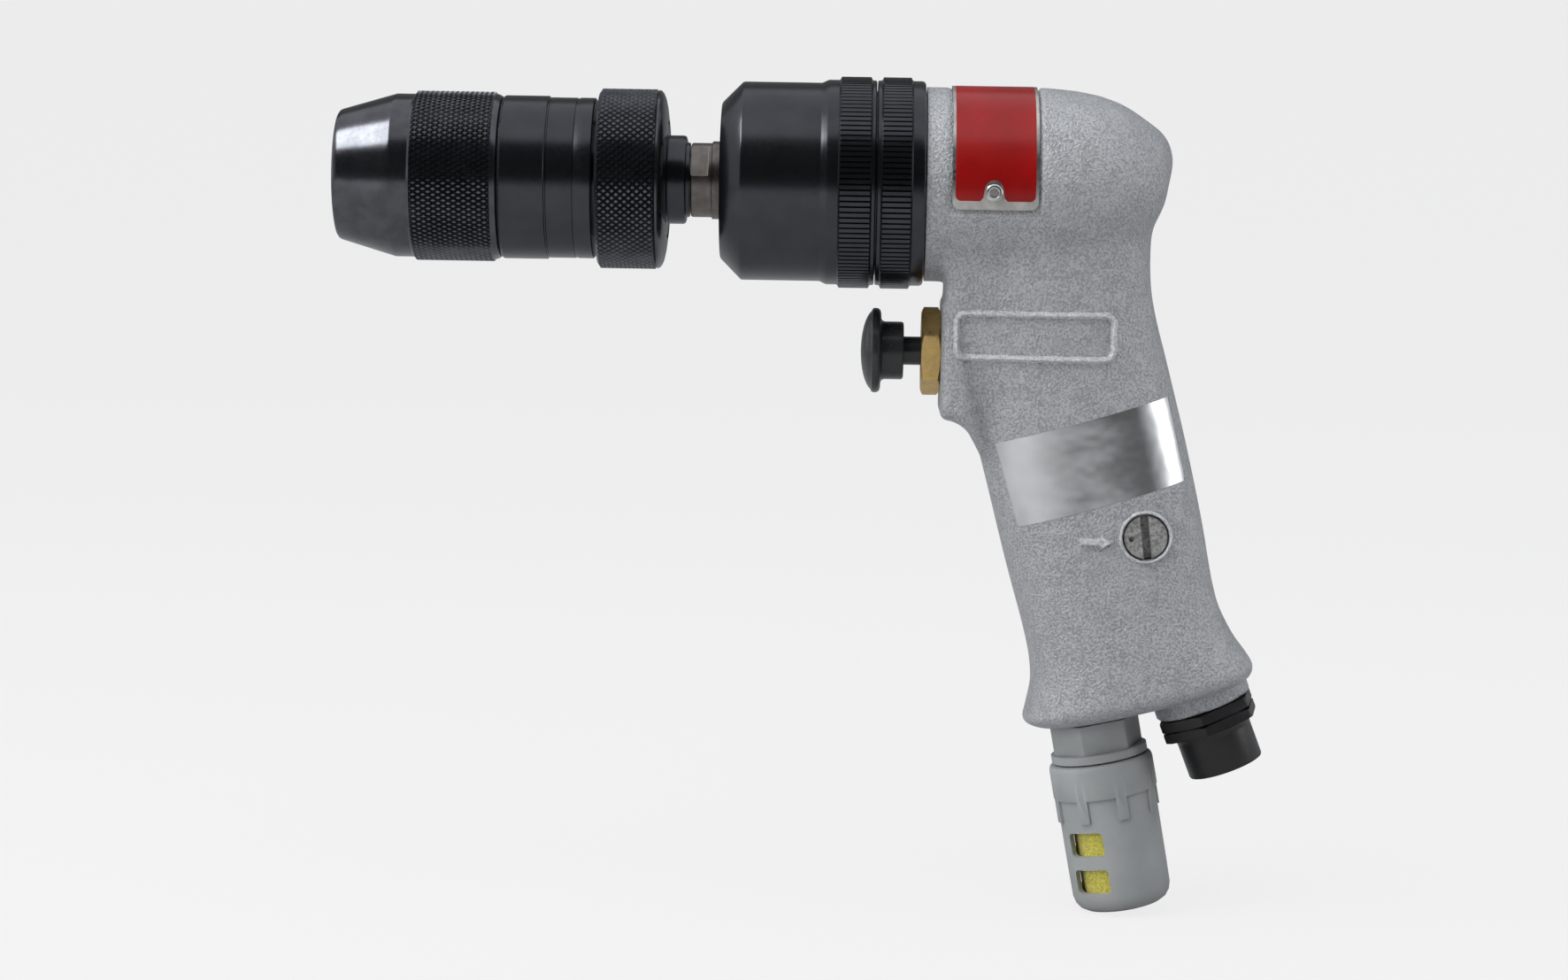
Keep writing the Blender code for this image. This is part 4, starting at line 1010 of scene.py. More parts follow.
def sink_for_plate(points):
    """Presses the nameplate's seat and the front register band into the barrel."""
    x, y, z = points.T
    plate_low, plate_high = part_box("nameplate")
    radius = np.hypot(y, z)
    soft = 0.6 * MM
    seat = fade(x, plate_low.x - 0.3 * MM - soft, plate_low.x - 0.3 * MM)
    seat = seat * (1 - fade(x, plate_high.x + 0.3 * MM, plate_high.x + 0.3 * MM + soft))
    seat = seat * fade(z, plate_low.z - 0.5 * MM - soft, plate_low.z - 0.5 * MM)
    band = (1 - fade(x, plate_low.x - 0.6 * MM, plate_low.x)) * 0.3
    target = np.minimum(radius, plate_high.z - 0.75 * MM)
    wanted = radius + (target - radius) * np.maximum(seat, band * fade(z, -8 * MM, 0))
    made = points.copy()
    scale = np.where(radius > 15 * MM, wanted / np.maximum(radius, 1e-6), 1.0)
    made[:, 1] = y * scale
    made[:, 2] = z * scale
    return made


# Side view of the throttle boss in millimetres, with the sweep from its foot into the grip
BOSS_SIDE = (
    (-16.2, -25.4), (-16.2, -49.5), (-15.4, -50.4), (-13.5, -50.8), (-11.8, -51.6), (-10.1, -53.1),
    (-8.7, -55.6), (-7.3, -58.3), (-6.2, -61.1), (-5.3, -64.0), (-4.4, -67.3), (7.0, -67.3), (7.0, -25.4),
)


def boss_form():
    """The boss's side view, extruded across the grip, with its upright edges rounded."""
    half = 14.6 * MM
    outline = [(x * MM, z * MM) for x, z in BOSS_SIDE]
    boss = flat_piece("boss_form", outline)
    thickened(boss, 2 * half)
    boss.data.transform(Matrix.Rotation(pi / 2, 4, "X") @ Matrix.Translation((0.0, 0.0, -half)))
    edit(boss)
    front = -5.0 * MM

    def rim(edge):
        a, b = (v.co for v in edge.verts)
        return abs(a.y - b.y) < 1e-6 and max(a.x, b.x) < front

    pick(boss, "edges", rim)
    bpy.ops.mesh.bevel(offset=2.2 * MM, segments=4, affect="EDGES")
    done()
    tidy(boss)

    def taper(points):
        made = points.copy()
        made[:, 1] *= 1 - 0.5 * fade(-points[:, 2], 50 * MM, 63 * MM)
        return made

    moved(boss, taper)
    return boss


def cast_form(sizes):
    """The rough casting: grip, barrel and throttle boss melted into one skin."""
    grip = grip_form()
    boss = boss_form()
    size, at = (20.0 * MM, 29.2 * MM, 22.0 * MM), (-5.6 * MM, 0.0, -20.0 * MM)
    neck = block("neck_form", size, at, None, 2.0 * MM, 3)
    barrel = barrel_form()
    add(grip, barrel, boss, neck)
    grip.data.remesh_voxel_size = sizes.casting_grain
    only(grip)
    bpy.ops.object.voxel_remesh()
    applied(grip, "SMOOTH", factor=0.5, iterations=9)
    weighted_smooth(grip, "crease", 90, crease_weight)
    return grip


def housing(sizes):
    face = ends("housing")[0]
    casting = cast_form(sizes)
    casting.name = "housing_casting"
    moved(casting, sink_for_plate)
    edit(casting)
    bpy.ops.mesh.select_all(action="SELECT")
    bpy.ops.mesh.bisect(plane_co=(face, 0, 0), plane_no=(1, 0, 0), use_fill=True, clear_inner=True)
    done()
    boss_outline = mm((-15, 0), (-15, 10.7), (-1, 10.7), (-0.55, 10.35), (-0.4, 9.9), (-0.4, 0))
    inlet_boss = turned("inlet_boss", boss_outline, INLET, 96)
    rim_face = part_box("regulator_plug")[0].y
    rim_outline = near(
        rim_face, 0, (9, 0), (9, 5.9), (0.6, 5.9), (-0.05, 5.65), (-0.28, 5.35), (-0.05, 5.05),
        (0, 5), (0, 0),
    )
    rim = turned("regulator_seat_form", rim_outline, REGULATOR, 72)
    add(casting, inlet_boss, rim, solver="MANIFOLD")
    boss_face = THROTTLE_FACE
    barrel_bore = near(face, 0.0, (-1, 0), (-1, 19)) + mm((-14.2, 19), (-14.2, 17.2), (17.2, 17.2), (17.2, 0))
    throttle_bore = near(boss_face, 0.0, (-4, 0), (-4, 6.5), (8.2, 6.5), (8.2, 5.3)) + mm((16, 5.3), (16, 0))
    bores = [
        turned("barrel_bore", barrel_bore, SPINDLE, 96),
        turned("throttle_bore", throttle_bore, THROTTLE, 64),
        rod("regulator_bore", -24.0 * MM, 6.0 * MM, 5.02 * MM, REGULATOR, 72),
        rod("silencer_spot_face", -3.4 * MM, 6.0 * MM, 10.6 * MM, SILENCER, 72),
        rod("exhaust_hole", -14.0 * MM, 2.0 * MM, 8.0 * MM, SILENCER, 64),
        rod("inlet_hole", -10.4 * MM, 2.0 * MM, 7.8 * MM, INLET, 64),
    ]
    carve(casting, *bores, solver="MANIFOLD")
    finished(casting, "hammered_paint", "housing", "hammered_paint", "housing", angle=50)
    return casting


# ---------------------------------------------------------------- what lies on the casting
def casting_skin():
    casting = bpy.data.objects["housing_casting"]
    casting.data.calc_loop_triangles()
    corners = [v.co.copy() for v in casting.data.vertices]
    faces = [tuple(t.vertices) for t in casting.data.loop_triangles]
    return BVHTree.FromPolygons(corners, faces)


def near_side(skin, x, z):
    """Y of the casting's -Y side at a place, looked at along +Y."""
    hit = skin.ray_cast(Vector((x, -60 * MM, z)), Vector((0.0, 1.0, 0.0)))[0]
    if hit is None:
        raise RuntimeError(f"nothing of the casting lies at X {x:.4f}, Z {z:.4f}")
    return hit.y


def rounded_rectangle(low, high, radius, per_corner=6, straight=1.0 * MM):
    """Points round a rectangle with round corners, close enough to follow a curved skin."""
    (x0, z0), (x1, z1) = low, high
    left, right, top, foot = x0 + radius, x1 - radius, z1 - radius, z0 + radius
    corners = ((right, top, 0), (left, top, 90), (left, foot, 180), (right, foot, 270))
    rough = []
    for x, z, start in corners:
        for k in range(per_corner + 1):
            angle = radians(start + 90 * k / per_corner)
            rough.append((x + radius * cos(angle), z + radius * sin(angle)))
    made = []
    for i, a in enumerate(rough):
        b = rough[(i + 1) % len(rough)]
        count = max(1, int(hypot(b[0] - a[0], b[1] - a[1]) / straight))
        made += [(a[0] + (b[0] - a[0]) * k / count, a[1] + (b[1] - a[1]) * k / count) for k in range(count)]
    return made


def bead_on(name, skin, path, width, height):
    """A closed raised bead that follows the casting's side."""
    shares = np.linspace(-1, 1, 9)
    deselect()
    bpy.ops.mesh.primitive_torus_add(
        major_segments=len(path), minor_segments=len(shares) + 2, major_radius=10 * MM, minor_radius=MM
    )
    bead = renamed(name)
    count = len(path)
    points = []
    for i, (x, z) in enumerate(path):
        before, after = path[i - 1], path[(i + 1) % count]
        along = Vector((after[0] - before[0], after[1] - before[1])).normalized()
        out = Vector((along.y, -along.x))
        for share in shares:
            px, pz = x + out.x * share * width / 2, z + out.y * share * width / 2
            lift = height * cos(share * pi / 2) ** 1.3 - 0.03 * MM
            points.append((px, near_side(skin, px, pz) - lift, pz))
        for share in (1, -1):
            px, pz = x + out.x * share * width / 2, z + out.y * share * width / 2
            points.append((px, near_side(skin, px, pz) + 0.5 * MM, pz))
    moved(bead, lambda _: np.array(points))
    tidy(bead)
    return bead


def laid_on(obj, skin, lift, depth):
    """Lays a flat piece, drawn in X and Y, on the casting's side, and gives it a thickness."""

    def drop(points):
        made = points.copy()
        for row, (x, z, rise) in zip(made, points):
            row[:] = (x, near_side(skin, x, z) - lift - rise, z)
        return made

    moved(obj, drop)
    return thickened(obj, depth, (0.0, 1.0, 0.0))


ARROW_TAIL = (14.3 * MM, -75.9 * MM)
ARROW_LENGTH = 7.3 * MM


def flow_arrow(skin):
    """A raised arrow beside the regulator, with sloping flanks."""
    x0, z = ARROW_TAIL
    x1 = x0 + ARROW_LENGTH
    neck = x1 - 3.1 * MM
    shaft, head = 0.85 * MM, 1.95 * MM
    outline = [
        (x0, z - shaft), (neck, z - shaft), (neck, z - head), (x1, z), (neck, z + head),
        (neck, z + shaft), (x0, z + shaft),
    ]
    arrow = flat_piece("flow_arrow", outline)
    edit(arrow)
    bpy.ops.mesh.select_all(action="SELECT")
    bpy.ops.mesh.inset(thickness=0.42 * MM, depth=0.0)
    done()
    inner = {v for p in arrow.data.polygons if len(p.vertices) == 7 for v in p.vertices}
    for index in inner:
        arrow.data.vertices[index].co.z = 0.95 * MM
    sliced(arrow, 0, x0, x1, 0.5 * MM)
    laid_on(arrow, skin, 0.0, 0.8 * MM)
    # The arrow wears the lighter copy of the casting paint, a painted highlight.
    finished(arrow, "raised_paint", "housing", "hammered_paint", angle=60)


LABEL_CORNERS = ((-4.2, -55.4), (33.1, -44.7), (37.3, -62.7), (1.1, -73.4))


def foil_label(sizes, skin):
    corners = np.array(LABEL_CORNERS) * MM
    across, down = 72, 40
    deselect()
    bpy.ops.mesh.primitive_grid_add(x_subdivisions=across, y_subdivisions=down, size=2.0)
    label = renamed("foil_label")

    def stretch(points):
        u = (points[:, 0] + 1) / 2
        v = (1 - points[:, 1]) / 2
        top = corners[0] + np.outer(u, corners[1] - corners[0])
        low = corners[3] + np.outer(u, corners[2] - corners[3])
        flat = top + (low - top) * v[:, None]
        return np.column_stack([flat, np.zeros(len(flat))])

    edit(label)
    pick(label, "verts", lambda v: abs(v.co.x) > 0.999 and abs(v.co.y) > 0.999)
    bpy.ops.mesh.bevel(offset=0.045, segments=4, affect="VERTICES")
    done()
    moved(label, stretch)
    laid_on(label, skin, sizes.label_thickness, sizes.label_thickness)
    finished(label, "bare_foil", "housing", "bright_steel", angle=60)


FRAME_LOW = (-13.0 * MM, -36.8 * MM)
FRAME_HIGH = (20.7 * MM, -27.3 * MM)


def embossed_frame(sizes, skin):
    path = rounded_rectangle(FRAME_LOW, FRAME_HIGH, 2.0 * MM, 8, 0.5 * MM)
    bead = bead_on("embossed_frame", skin, path, sizes.bead_width, sizes.bead_height)
    # The bead wears the lighter copy of the casting paint, a painted highlight.
    finished(bead, "raised_paint", "housing", "hammered_paint", angle=70)
    turns = np.linspace(0.0, 2 * pi, 64, endpoint=False)
    x, z, radius = REGULATOR_AT.x, REGULATOR_AT.z, 5.4 * MM
    rim = [(x + radius * cos(turn), z + radius * sin(turn)) for turn in turns]
    ring = bead_on("regulator_rim", skin, rim, 0.8 * MM, 0.42 * MM)
    # The regulator rim wears the same lighter copy of the casting paint, a painted highlight.
    finished(ring, "raised_paint", "housing", "hammered_paint", angle=70)


# ---------------------------------------------------------------- nameplate
def wrapped(obj, radius):
    """Bends a flat piece over the barrel: X stays, Y becomes the arc from the top."""

    def wrap(points):
        x, arc, rise = points.T
        turn = arc / radius
        out = radius + rise
        return np.column_stack([x, -out * np.sin(turn), out * np.cos(turn)])

    return moved(obj, wrap)


def plate_outline(x0, x1, arc, corner, notch=None):
    """The plate laid flat: X along the barrel and Y along its arc, with round corners."""
    points = []
    for x, y, start in ((x1, arc, 0), (x0, arc, 90), (x0, -arc, 180), (x1, -arc, 270)):
        cx = x - corner if x == x1 else x + corner
        cy = y - corner if y > 0 else y + corner
        for k in range(7):
            angle = radians(start + 15 * k)
            points.append((cx + corner * cos(angle), cy + corner * sin(angle)))
        if notch and start in (0, 180):
            centre_x, centre_y, lobe = notch
            side = 1 if y > 0 else -1
            wide, near_lobe, dip = side * lobe * 1.45, side * lobe * 1.12, y - side * lobe * 0.35
            points += [(centre_x + wide, y), (centre_x + near_lobe, dip)]
            for k in range(9):
                angle = radians(180 * k / 8)
                drop = side * centre_y - side * lobe * sin(angle)
                points.append((centre_x + side * lobe * cos(angle), drop))
            points += [(centre_x - near_lobe, dip), (centre_x - wide, y)]
    return points


def nameplate():
    low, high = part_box("nameplate")
    radius = high.z - 0.4 * MM
    half = pi / 2 + np.arcsin(-low.z / radius)
    arc = float(radius * half)
    rivet = centre("plate_rivet_1")
    plate = flat_piece("nameplate_sheet", plate_outline(low.x, high.x, arc, 1.7 * MM))
    sliced(plate, 1, -arc, arc, 1.0 * MM)
    thickened(plate, 0.5 * MM)
    wrapped(plate, radius)
    tidy(plate)
    finished(plate, "bare_aluminium", "housing", "red_enamel", "nameplate", angle=40)
    border = 0.62 * MM
    rivet_arc = radius * (pi / 2 - float(np.arcsin(rivet.z / radius)))
    notch = (rivet.x, rivet_arc, 2.02 * MM)
    outline = plate_outline(low.x + border, high.x - border, arc - 1.1 * MM, 1.2 * MM, notch)
    field = flat_piece("nameplate_field", outline)
    sliced(field, 1, -arc, arc, 1.0 * MM)
    thickened(field, 0.12 * MM)
    wrapped(field, radius + 0.42 * MM)
    tidy(field)
    finished(field, "red_enamel", "housing", "red_enamel", angle=40)
    for side, node in ((-1, "plate_rivet_1"), (1, "plate_rivet_3")):
        turn = Matrix.Rotation(-side * pi / 2, 4, "X")
        stand = Matrix.Translation((rivet.x, 0.0, rivet.z)) @ turn
        top = radius + 0.5 * MM
        outline = near(
            top, 0, (-3, 0), (-3, 1), (-0.1, 1), (-0.1, 1.9), (0.25, 1.88), (0.55, 1.6),
            (0.62, 1.25), (0.5, 1.05), (-2.7, 0.9), (-2.7, 0),
        )
        head = turned(f"hollow_rivet_{'near' if side < 0 else 'far'}", outline, stand, 40)
        finished(head, "bright_steel", "housing", "bright_steel", node)


# ---------------------------------------------------------------- throttle
def push_button():
    low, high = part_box("push_button")
    apex = low.x
    hub_rear = high.x
    rim = high.z - THROTTLE.translation.z
    dome = 3.1 * MM
    outline = [(apex, 0.0)]
    for k in range(1, 9):
        angle = radians(74 * k / 8)
        outline.append((apex + dome * (1 - cos(angle)), (rim - 0.35 * MM) * sin(angle)))
    edge = apex + dome
    outline += [
        *near(edge, rim, (-0.6, -0.14), (-0.1, 0), (0.6, -0.08), (1.05, -0.45), (1.25, -1.1)),
        *near(edge, 0, (1.3, 7), (1.55, 6.5), (2.1, 6.3)),
        *near(hub_rear, 0, (-0.5, 6.3), (-0.12, 6.1), (0, 5.7), (0, 3.4)),
        *near(apex, 0, (5.5, 3.4), (5.5, 0)),
    ]
    button = turned("push_button_moulded", outline, THROTTLE, 80)
    pin_at = Vector((hub_rear - 2.4 * MM, 0.0, THROTTLE.translation.z))
    carve(button, rod("pin_hole", 5.7 * MM, 7.5 * MM, 0.75 * MM, Matrix.Translation(pin_at), 24))
    finished(button, "charcoal_plastic", "throttle_button", "charcoal_plastic", "push_button", angle=40)


def throttle_bushing():
    low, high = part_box("brass_bushing")
    face = -16.3 * MM
    turn = radians(5.7)
    bushing = hexagon("brass_bushing_nut", 9.75 * MM, low.x, face, turn, None, 0.62 * MM, 0.12 * MM)
    outline = near(face, 0, (-0.5, 0), (-0.5, 6.2)) + near(high.x, 0, (0, 6.2), (0, 0))
    add(bushing, turned("bushing_thread", outline, None, 64))
    carve(bushing, rod("bushing_bore", low.x - MM, high.x + MM, 3.4 * MM, None, 48))
    placed(bushing, THROTTLE)
    finished(bushing, "brass", "housing", "brass", "brass_bushing", angle=20)


def throttle_pieces():
    push_button()
    throttle_bushing()
    low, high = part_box("valve_stem")
    outline = [
        *near(low.x, 0, (0, 0), (0, 2.8), (0.3, 3.1)),
        *mm((-7.5, 3.1), (-7.2, 2.8), (-7.2, 2)),
        *near(high.x, 0, (0, 2), (0, 0)),
    ]
    stem = turned("valve_stem_turned", outline, THROTTLE, 48)
    finished(stem, "charcoal_plastic", "throttle_button", "bright_steel", "valve_stem")
    face = THROTTLE_FACE
    outline = near(face, 0, (-0.22, 6.55), (-0.22, 8.6), (-0.05, 8.9), (0.6, 8.9), (0.6, 6.55))
    washer = turned("boss_washer", outline, THROTTLE, 72, closed=True)
    finished(washer, "bare_aluminium", "housing", "bright_steel")


# ---------------------------------------------------------------- regulator
def regulator_plug():
    low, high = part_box("regulator_plug")
    radius = 4.72 * MM
    outline = [
        (low.y, 0.0),
        *near(low.y, radius, (0, -0.18), (0.18, 0)),
        (high.y, radius), (high.y, 0.0),
    ]
    plug = turned("regulator_plug_slotted", outline, None, 72)
    slot_turn = Matrix.Rotation(radians(83.2), 4, "Z")
    carve(plug, block("slot_cutter", (12.0 * MM, 1.75 * MM, 5.6 * MM), (0.0, 0.0, low.y), slot_turn))
    dot = Matrix.Translation((-3.1 * MM, 0.4 * MM, low.y))
    carve(plug, rod("dot_cutter", -MM, 1.1 * MM, 0.58 * MM, dot, 24))
    placed(plug, REGULATOR)
    port = down_frame((REGULATOR_AT.x, 0.0, REGULATOR_AT.z), INLET_TILT)
    carve(plug, rod("port_cutter", -8.0 * MM, 8.0 * MM, 3.0 * MM, port, 32))
    finished(plug, "plug_steel", "regulator", "gear_steel", "regulator_plug", angle=30)


# ---------------------------------------------------------------- silencer and inlet
RIB_TURNS = [radians(-59.0 - 45.0 * k) for k in range(8)]
WINDOW_TURNS = (radians(-52.0), radians(52.0))
WINDOW_ROWS = (23.0 * MM, 31.3 * MM)


def silencer_adapter():
    turn = radians(-8.0)
    body = hexagon("silencer_adapter_hex", 10.1 * MM, -3.1 * MM, 3.6 * MM, turn, None, 0.0, 0.55 * MM)
    outline = mm(
        (-12, 0), (-12, 7.2), (-11.5, 7.7), (3.3, 7.7), (3.3, 10.3), (3.45, 10.6), (5.1, 10.6),
        (5.25, 10.35), (5.3, 9.2), (9.1, 9.2), (9.1, 0),
    )
    add(body, turned("flange_form", outline, None, 96))
    carve(body, rod("adapter_bore", -13.0 * MM, 10.0 * MM, 5.5 * MM, None, 48))
    placed(body, SILENCER)
    finished(body, "grey_plastic", "housing", "grey_plastic", "silencer_adapter", angle=25)


def silencer_case():
    outer = mm(
        (5.55, 9.6), (5.6, 10.7), (5.8, 11.1), (6.2, 11.35), (6.9, 11.48), (12.9, 11.5),
        (13.15, 11.38), (13.25, 10.92), (30, 10.86), (35.3, 10.8), (36.8, 10.4), (37.9, 9.6),
        (38.6, 8.4), (38.95, 7), (39, 5), (39, 0),
    )
    inner = mm((5.55, 9.5), (36.6, 9.4), (37.2, 8.6), (37.3, 7.5), (37.3, 0))
    case = turned("silencer_case_slotted", inner[::-1] + outer, None, 128)
    ribs = []
    for turn in RIB_TURNS:
        spin = Matrix.Rotation(turn, 4, "Z")
        size = (1.1 * MM, 2.4 * MM, 6.4 * MM)
        rib = block("rib_form", size, (10.93 * MM, 0.0, 15.0 * MM), spin, 0.14 * MM, 2)
        ribs.append(rib)
    add(case, *ribs)
    for at in WINDOW_ROWS:
        for turn in WINDOW_TURNS:
            spin = Matrix.Rotation(turn, 4, "Z")
            size = (8.0 * MM, 8.7 * MM, 5.4 * MM)
            carve(case, block("window_form", size, (11.0 * MM, 0.0, at), spin, 1.05 * MM, 5))
    placed(case, SILENCER)
    finished(case, "grey_plastic", "housing", "grey_plastic", "silencer_case", angle=30)


def silencer_element():
    outline = mm((9.4, 5), (9.4, 8.1), (9.7, 8.4))
    outline += [(at, 8.4 * MM) for at in even_stations(10.2 * MM, 36.3 * MM, 40)]
    outline += mm((36.7, 8.4), (37, 8.1), (37, 5))
    element = turned("felt_element", outline, None, 96, closed=True)

    def shaggy(points):
        x, y, z = points.T
        radius = np.hypot(x, y)
        turn = np.arctan2(y, x)
        wave = np.sin(turn * 13 + z * 2100) * np.sin(turn * 29 - z * 3300) + np.sin(turn * 7 + z * 900)
        push = np.where(radius > 8.2 * MM, wave * 0.03 * MM, 0.0)
        scale = (radius + push) / radius
        return np.column_stack([x * scale, y * scale, z])

    moved(element, shaggy)
    placed(element, SILENCER)
    finished(element, "yellow_felt", "housing", "yellow_felt", "silencer_element", angle=70)


def inlet_bushing():
    turn = radians(40.0)
    corner_r, soft = 11.5 * MM, 0.35 * MM
    upper = hexagon("inlet_bushing_nut", corner_r, -0.1 * MM, 2.15 * MM, turn, None, soft, soft)
    lower = hexagon("inlet_lower_form", corner_r, 2.45 * MM, 4.6 * MM, turn, None, soft, soft)
    outline = mm((-9.8, 0), (-9.8, 7.5), (0.5, 7.5), (0.5, 9.6), (4, 9.6), (4, 0))
    add(upper, lower, turned("inlet_core_form", outline, None, 72))
    carve(upper, rod("inlet_bore", -11.0 * MM, 6.0 * MM, 5.5 * MM, None, 48))
    placed(upper, INLET)
    finished(upper, "black_fitting", "housing", "black_fitting", "inlet_bushing", angle=25)


def hose_adapter():
    outline = mm(
        (-3, 3.6), (-3, 5.2), (4.9, 5.2), (4.9, 8.9), (5.25, 8.75), (5.7, 8.45), (6.4, 8.35),
        (13.7, 8.35), (14.05, 8.2), (14.2, 7.8), (14.2, 6.5), (13.9, 6.2), (7.1, 6.2), (7.1, 3.6),
    )
    adapter = turned("hose_adapter_moulded", outline, INLET, 96, closed=True)
    finished(adapter, "black_fitting", "housing", "black_fitting", "hose_adapter")


# ---------------------------------------------------------------- inner works
INNER_FINISHES = {
    "bright_steel": (
        "jaw_guide", "feed_screw", "chuck_thrust_race", "front_bearing", "rear_bearing",
        "motor_rotor", "inlet_screen", *(f"planet_pin_{i}" for i in range(1, 4)),
    ),
    "gear_steel": (
        "clutch_adjusting_nut", "clutch_spring_seat", "clutch_plate", "planet_carrier",
        "sun_pinion", *(f"planet_gear_{i}" for i in range(1, 4)), "ring_gear",
        "motor_cylinder", "motor_front_plate", "motor_rear_plate", "valve_poppet",
    ),
    "spring_steel": ("clutch_spring", "valve_spring"),
    "bushing_bronze": ("spindle_bushing",),
    "vane_fibre": tuple(f"rotor_vane_{i}" for i in range(1, 6)),
    "black_rubber": ("valve_seat",),
}


def dress_inner_works():
    for finish, nodes in INNER_FINISHES.items():
        for node in nodes:
            obj = frame["nodes"][node]
            made = look(finish)
            if not obj.material_slots:
                obj.data.materials.append(made)
            for place in obj.material_slots:
                place.material = made


# ---------------------------------------------------------------- studio
CAMERA_X = -35.3 * MM
CAMERA_LEVEL = -63.1 * MM  # the camera's height before it rises by its dip
CAMERA_DIP = radians(5.5)
CAMERA_ROLL = radians(0.94)
CAMERA_AIM = Vector((-49.8 * MM, 0.0, -67.5 * MM))


def camera(sizes):
    """A long lens, level with the spindle and looking a little down."""
    data = bpy.data.cameras.new("studio_camera")
    data.sensor_width = 36.0
    data.lens = 86.0
    data.clip_start, data.clip_end = 0.01, 20.0
    made = bpy.data.objects.new("studio_camera", data)
    bpy.context.scene.collection.objects.link(made)
    away = sizes.camera_distance
    place = Vector((CAMERA_X, -away * cos(CAMERA_DIP), CAMERA_LEVEL + away * sin(CAMERA_DIP)))
    look_at = (CAMERA_AIM - place).to_track_quat("-Z", "Y").to_matrix().to_4x4()
    made.matrix_world = Matrix.Translation(place) @ look_at @ Matrix.Rotation(CAMERA_ROLL, 4, "Z")
    bpy.context.scene.camera = made


def panel(name, at, target, size, power, shows=False):
    """A soft box facing its target, with its long edge as near level with the spindle as it goes."""
    data = bpy.data.lights.new(name, "AREA")
    data.shape = "RECTANGLE"
    data.size, data.size_y = size
    data.energy = power
    made = bpy.data.objects.new(name, data)
    bpy.context.scene.collection.objects.link(made)
    back = (Vector(at) - Vector(target)).normalized()
    side = (Vector((1.0, 0.0, 0.0)) - back * back.x).normalized()
    facing = Matrix((side, back.cross(side), back)).transposed().to_4x4()
    made.matrix_world = Matrix.Translation(at) @ facing
    made.visible_glossy = shows


# What the room shows at each angle above the camera's side: degrees, then brightness
ROOM = (
    (-180, 0.80), (-144, 0.60), (-90, 0.42), (-24, 0.30), (-10, 0.030), (50, 0.025),
    (57, 0.90), (128, 0.80), (144, 0.42), (180, 0.80),
)


def studio_world():
    """A dark room with a soft box overhead and white paper behind, as a glossy part sees it."""
    world = bpy.data.worlds.new("studio")
    bpy.context.scene.world = world
    world.use_nodes = True
    tree = world.node_tree
    tree.nodes.clear()
    link = tree.links.new

    def node(kind, **settings):
        made = tree.nodes.new("ShaderNode" + kind)
        for key, value in settings.items():
            setattr(made, key, value)
        return made

    where = node("TexCoord")
    split = node("SeparateXYZ")
    link(where.outputs["Generated"], split.inputs["Vector"])
    facing = node("Math", operation="MULTIPLY")
    facing.inputs[1].default_value = -1.0
    link(split.outputs["Y"], facing.inputs[0])
    angle = node("Math", operation="ARCTAN2")
    link(split.outputs["Z"], angle.inputs[0])
    link(facing.outputs["Value"], angle.inputs[1])
    share = node("MapRange")
    share.inputs["From Min"].default_value = -pi
    share.inputs["From Max"].default_value = pi
    link(angle.outputs["Value"], share.inputs["Value"])
    ramp = node("ValToRGB")
    link(share.outputs["Result"], ramp.inputs["Fac"])
    band = ramp.color_ramp
    while len(band.elements) < len(ROOM):
        band.elements.new(0.5)
    for element, (at, level) in zip(band.elements, ROOM):
        element.position = (at + 180) / 360
        element.color = (level * 0.97, level * 0.985, level * 1.03, 1.0)
    side = node("Math", operation="ABSOLUTE")
    link(split.outputs["X"], side.inputs[0])
    wings = node("MapRange")
    wings.inputs["From Min"].default_value = 0.72
    wings.inputs["From Max"].default_value = 0.90
    link(side.outputs["Value"], wings.inputs["Value"])
    blend = node("Mix", data_type="RGBA")
    link(wings.outputs["Result"], blend.inputs[0])
    link(ramp.outputs["Color"], blend.inputs[6])
    blend.inputs[7].default_value = (0.62, 0.63, 0.65, 1.0)
    room, paper = node("Background"), node("Background")
    colour = next(o for o in blend.outputs if o.type == "RGBA")
    link(colour, room.inputs["Color"])
    paper.inputs["Color"].default_value = (0.93, 0.93, 0.935, 1.0)
    rays = node("LightPath")
    mix = node("MixShader")
    out = node("OutputWorld")
    link(rays.outputs["Is Camera Ray"], mix.inputs["Fac"])
    link(room.outputs["Background"], mix.inputs[1])
    link(paper.outputs["Background"], mix.inputs[2])
    link(mix.outputs["Shader"], out.inputs["Surface"])


